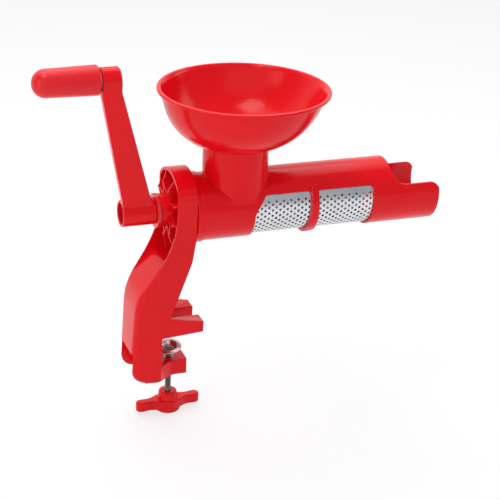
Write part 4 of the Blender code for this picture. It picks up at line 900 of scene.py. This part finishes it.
wing = []
for side in (1, -1):
    wing += [
        (side * WING_SPAN, -side * WING_HALF, WING_HALF * 0.9),
        (side * WING_SPAN, side * WING_HALF, WING_HALF * 0.9),
        (side * WING_WAIST, side * WING_HALF * 0.75, 14 * MM),
        (0.0, side * (KNOB_HUB_R + 2 * MM), KNOB_HUB_R),
        (-side * WING_WAIST, side * WING_HALF * 0.75, 14 * MM),
    ]
wings = slab(rounded(wing), WING_LOW, WING_LOW + WING_HEIGHT, "XY", 1.6 * MM, 5)
bmesh.ops.rotate(wings, verts=wings.verts, cent=(0, 0, 0),
                 matrix=Matrix.Rotation(WING_TURN, 3, "Z"))
knob_outline = rounded([
    (KNOB[0], 0.0), (KNOB[0], 11 * MM, 1.6 * MM), (KNOB[0] + 1.5 * MM, KNOB_R, 1.2 * MM),
    (WING_LOW + 0.2 * MM, KNOB_R, 2 * MM),
    (WING_LOW + WING_HEIGHT - 0.2 * MM, 10.4 * MM, 4 * MM),
    (KNOB[1] - 0.6 * MM, 8.8 * MM, 0.8 * MM), (KNOB[1], 7.8 * MM, 0.6 * MM), (KNOB[1], 0.0)],
    step=12.0)
knob_bore = [(KNOB_BORE_Z, 0.0), (KNOB_BORE_Z, ROD_HOLE_R), (KNOB[1] - 0.7 * MM, ROD_HOLE_R),
             (KNOB[1] + 0.3 * MM, ROD_HOLE_R + MM), (KNOB[1] + 0.3 * MM, 0.0)]
knob_mesh = carve(lathe(knob_outline, "Z", 120), [
    ("UNION", wings),
    ("DIFFERENCE", lathe(knob_bore, "Z", 60)),
])
knob = settle_mesh(knob_mesh, "wing_nut", gloss_red)
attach(knob, "screw")
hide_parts("wing_knob")


# The photograph's stage: a camera at its viewing angle, a white floor that keeps a soft shadow, and a
# plain room, white behind the strainer and grey before it, with five soft boxes round it.
FLOOR_Z = -92.5 * MM
FLOOR_HALF = 30.0
FLOOR_GLOW = 0.7
SIGHT = Vector((121 * MM, 0.0, AXIS_Z))
LENS = 108.0
CAMERA_AT = (-0.40331, -1.25814, 0.66648)
CAMERA_RIGHT = Vector((0.93865651, -0.34238371, 0.04119892))
CAMERA_UP = Vector((0.10276503, 0.39175285, 0.91431343))
PAPER_WHITE = (0.95, 0.95, 0.95, 1.0)
ROOM_WHITE = (1.0, 1.0, 1.0, 1.0)
ROOM_GREY = (0.42, 0.43, 0.46, 1.0)
ROOM_FADE = (0.25, 0.60)

photo_camera = bpy.data.cameras.new("photo camera")
photo_camera.lens = LENS
photo_camera.sensor_width = 36.0
photo_camera.clip_start = 0.05
photo_camera.clip_end = 100.0
camera = bpy.data.objects.new("photo camera", photo_camera)
axes = (CAMERA_RIGHT, CAMERA_UP, CAMERA_RIGHT.cross(CAMERA_UP))
camera.matrix_world = Matrix.Translation(CAMERA_AT) @ Matrix(axes).transposed().to_4x4()
bpy.context.scene.collection.objects.link(camera)
bpy.context.scene.camera = camera

# The floor glows by a share, but only where it is seen, straight or in a gloss or a clear piece.
paper, tree, shader, _ = node_maker("paper")
shader.inputs["Base Color"].default_value = PAPER_WHITE
shader.inputs["Roughness"].default_value = 0.9
shader.inputs["Specular IOR Level"].default_value = 0.1
rays = tree.nodes.new("ShaderNodeLightPath")
seen = rays.outputs["Is Camera Ray"]
for kind in ("Is Glossy Ray", "Is Transmission Ray"):
    either = tree.nodes.new("ShaderNodeMath")
    either.operation = "ADD"
    tree.links.new(seen, either.inputs[0])
    tree.links.new(rays.outputs[kind], either.inputs[1])
    seen = either.outputs["Value"]
share = tree.nodes.new("ShaderNodeMath")
share.operation = "MULTIPLY"
share.use_clamp = True
share.inputs[1].default_value = FLOOR_GLOW
tree.links.new(seen, share.inputs[0])
white = tree.nodes.new("ShaderNodeEmission")
both = tree.nodes.new("ShaderNodeMixShader")
tree.links.new(share.outputs["Value"], both.inputs["Fac"])
tree.links.new(shader.outputs["BSDF"], both.inputs[1])
tree.links.new(white.outputs["Emission"], both.inputs[2])
tree.links.new(both.outputs["Shader"], tree.nodes["Material Output"].inputs["Surface"])

sheet = bmesh.new()
bmesh.ops.create_grid(sheet, x_segments=1, y_segments=1, size=FLOOR_HALF)
bmesh.ops.translate(sheet, verts=sheet.verts, vec=(0, 0, FLOOR_Z))
floor_mesh = bpy.data.meshes.new("floor")
sheet.to_mesh(floor_mesh)
sheet.free()
floor_mesh.materials.append(paper)
floor = bpy.data.objects.new("floor", floor_mesh)
bpy.context.scene.collection.objects.link(floor)


def soft_box(name, place, width, height, watts):
    """A rectangular lamp that faces the strainer."""
    lamp = bpy.data.lights.new(name, "AREA")
    lamp.shape = "RECTANGLE"
    lamp.size = width
    lamp.size_y = height
    lamp.energy = watts
    box = bpy.data.objects.new(name, lamp)
    aim = (SIGHT - Vector(place)).to_track_quat("-Z", "Y").to_matrix().to_4x4()
    box.matrix_world = Matrix.Translation(place) @ aim
    box.visible_camera = False
    bpy.context.scene.collection.objects.link(box)


soft_box("front box", (-0.70, -1.80, 1.25), width=2.4, height=1.8, watts=7.6)
soft_box("back box", (0.10, 0.72, 1.62), width=1.7, height=1.3, watts=14.0)
soft_box("left box", (-1.45, -0.55, 0.55), width=0.6, height=1.2, watts=4.0)
soft_box("right box", (1.55, -0.05, 0.60), width=0.5, height=1.2, watts=4.0)
soft_box("top box", (-0.24, -0.12, 1.22), width=0.42, height=0.42, watts=3.3)

# The room fades from grey to white towards the back, and the camera itself sees it white all round.
room = bpy.data.worlds.new("room")
room.use_nodes = True
sky = room.node_tree
direction = sky.nodes.new("ShaderNodeTexCoord")
parts = sky.nodes.new("ShaderNodeSeparateXYZ")
sky.links.new(direction.outputs["Generated"], parts.inputs["Vector"])
behind = sky.nodes.new("ShaderNodeMapRange")
behind.interpolation_type = "SMOOTHSTEP"
behind.inputs["From Min"].default_value = ROOM_FADE[0]
behind.inputs["From Max"].default_value = ROOM_FADE[1]
sky.links.new(parts.outputs["Y"], behind.inputs["Value"])
fade = blend_colours(sky, behind.outputs["Result"], ROOM_GREY[:3], ROOM_WHITE[:3])
backdrop = sky.nodes.new("ShaderNodeMix")
backdrop.data_type = "RGBA"
backdrop.inputs["B"].default_value = ROOM_WHITE
sky.links.new(sky.nodes.new("ShaderNodeLightPath").outputs["Is Camera Ray"],
              backdrop.inputs["Factor"])
sky.links.new(fade, backdrop.inputs["A"])
sky.links.new(backdrop.outputs["Result"], sky.nodes["Background"].inputs["Color"])
bpy.context.scene.world = room
bpy.context.scene.view_settings.view_transform = "Standard"
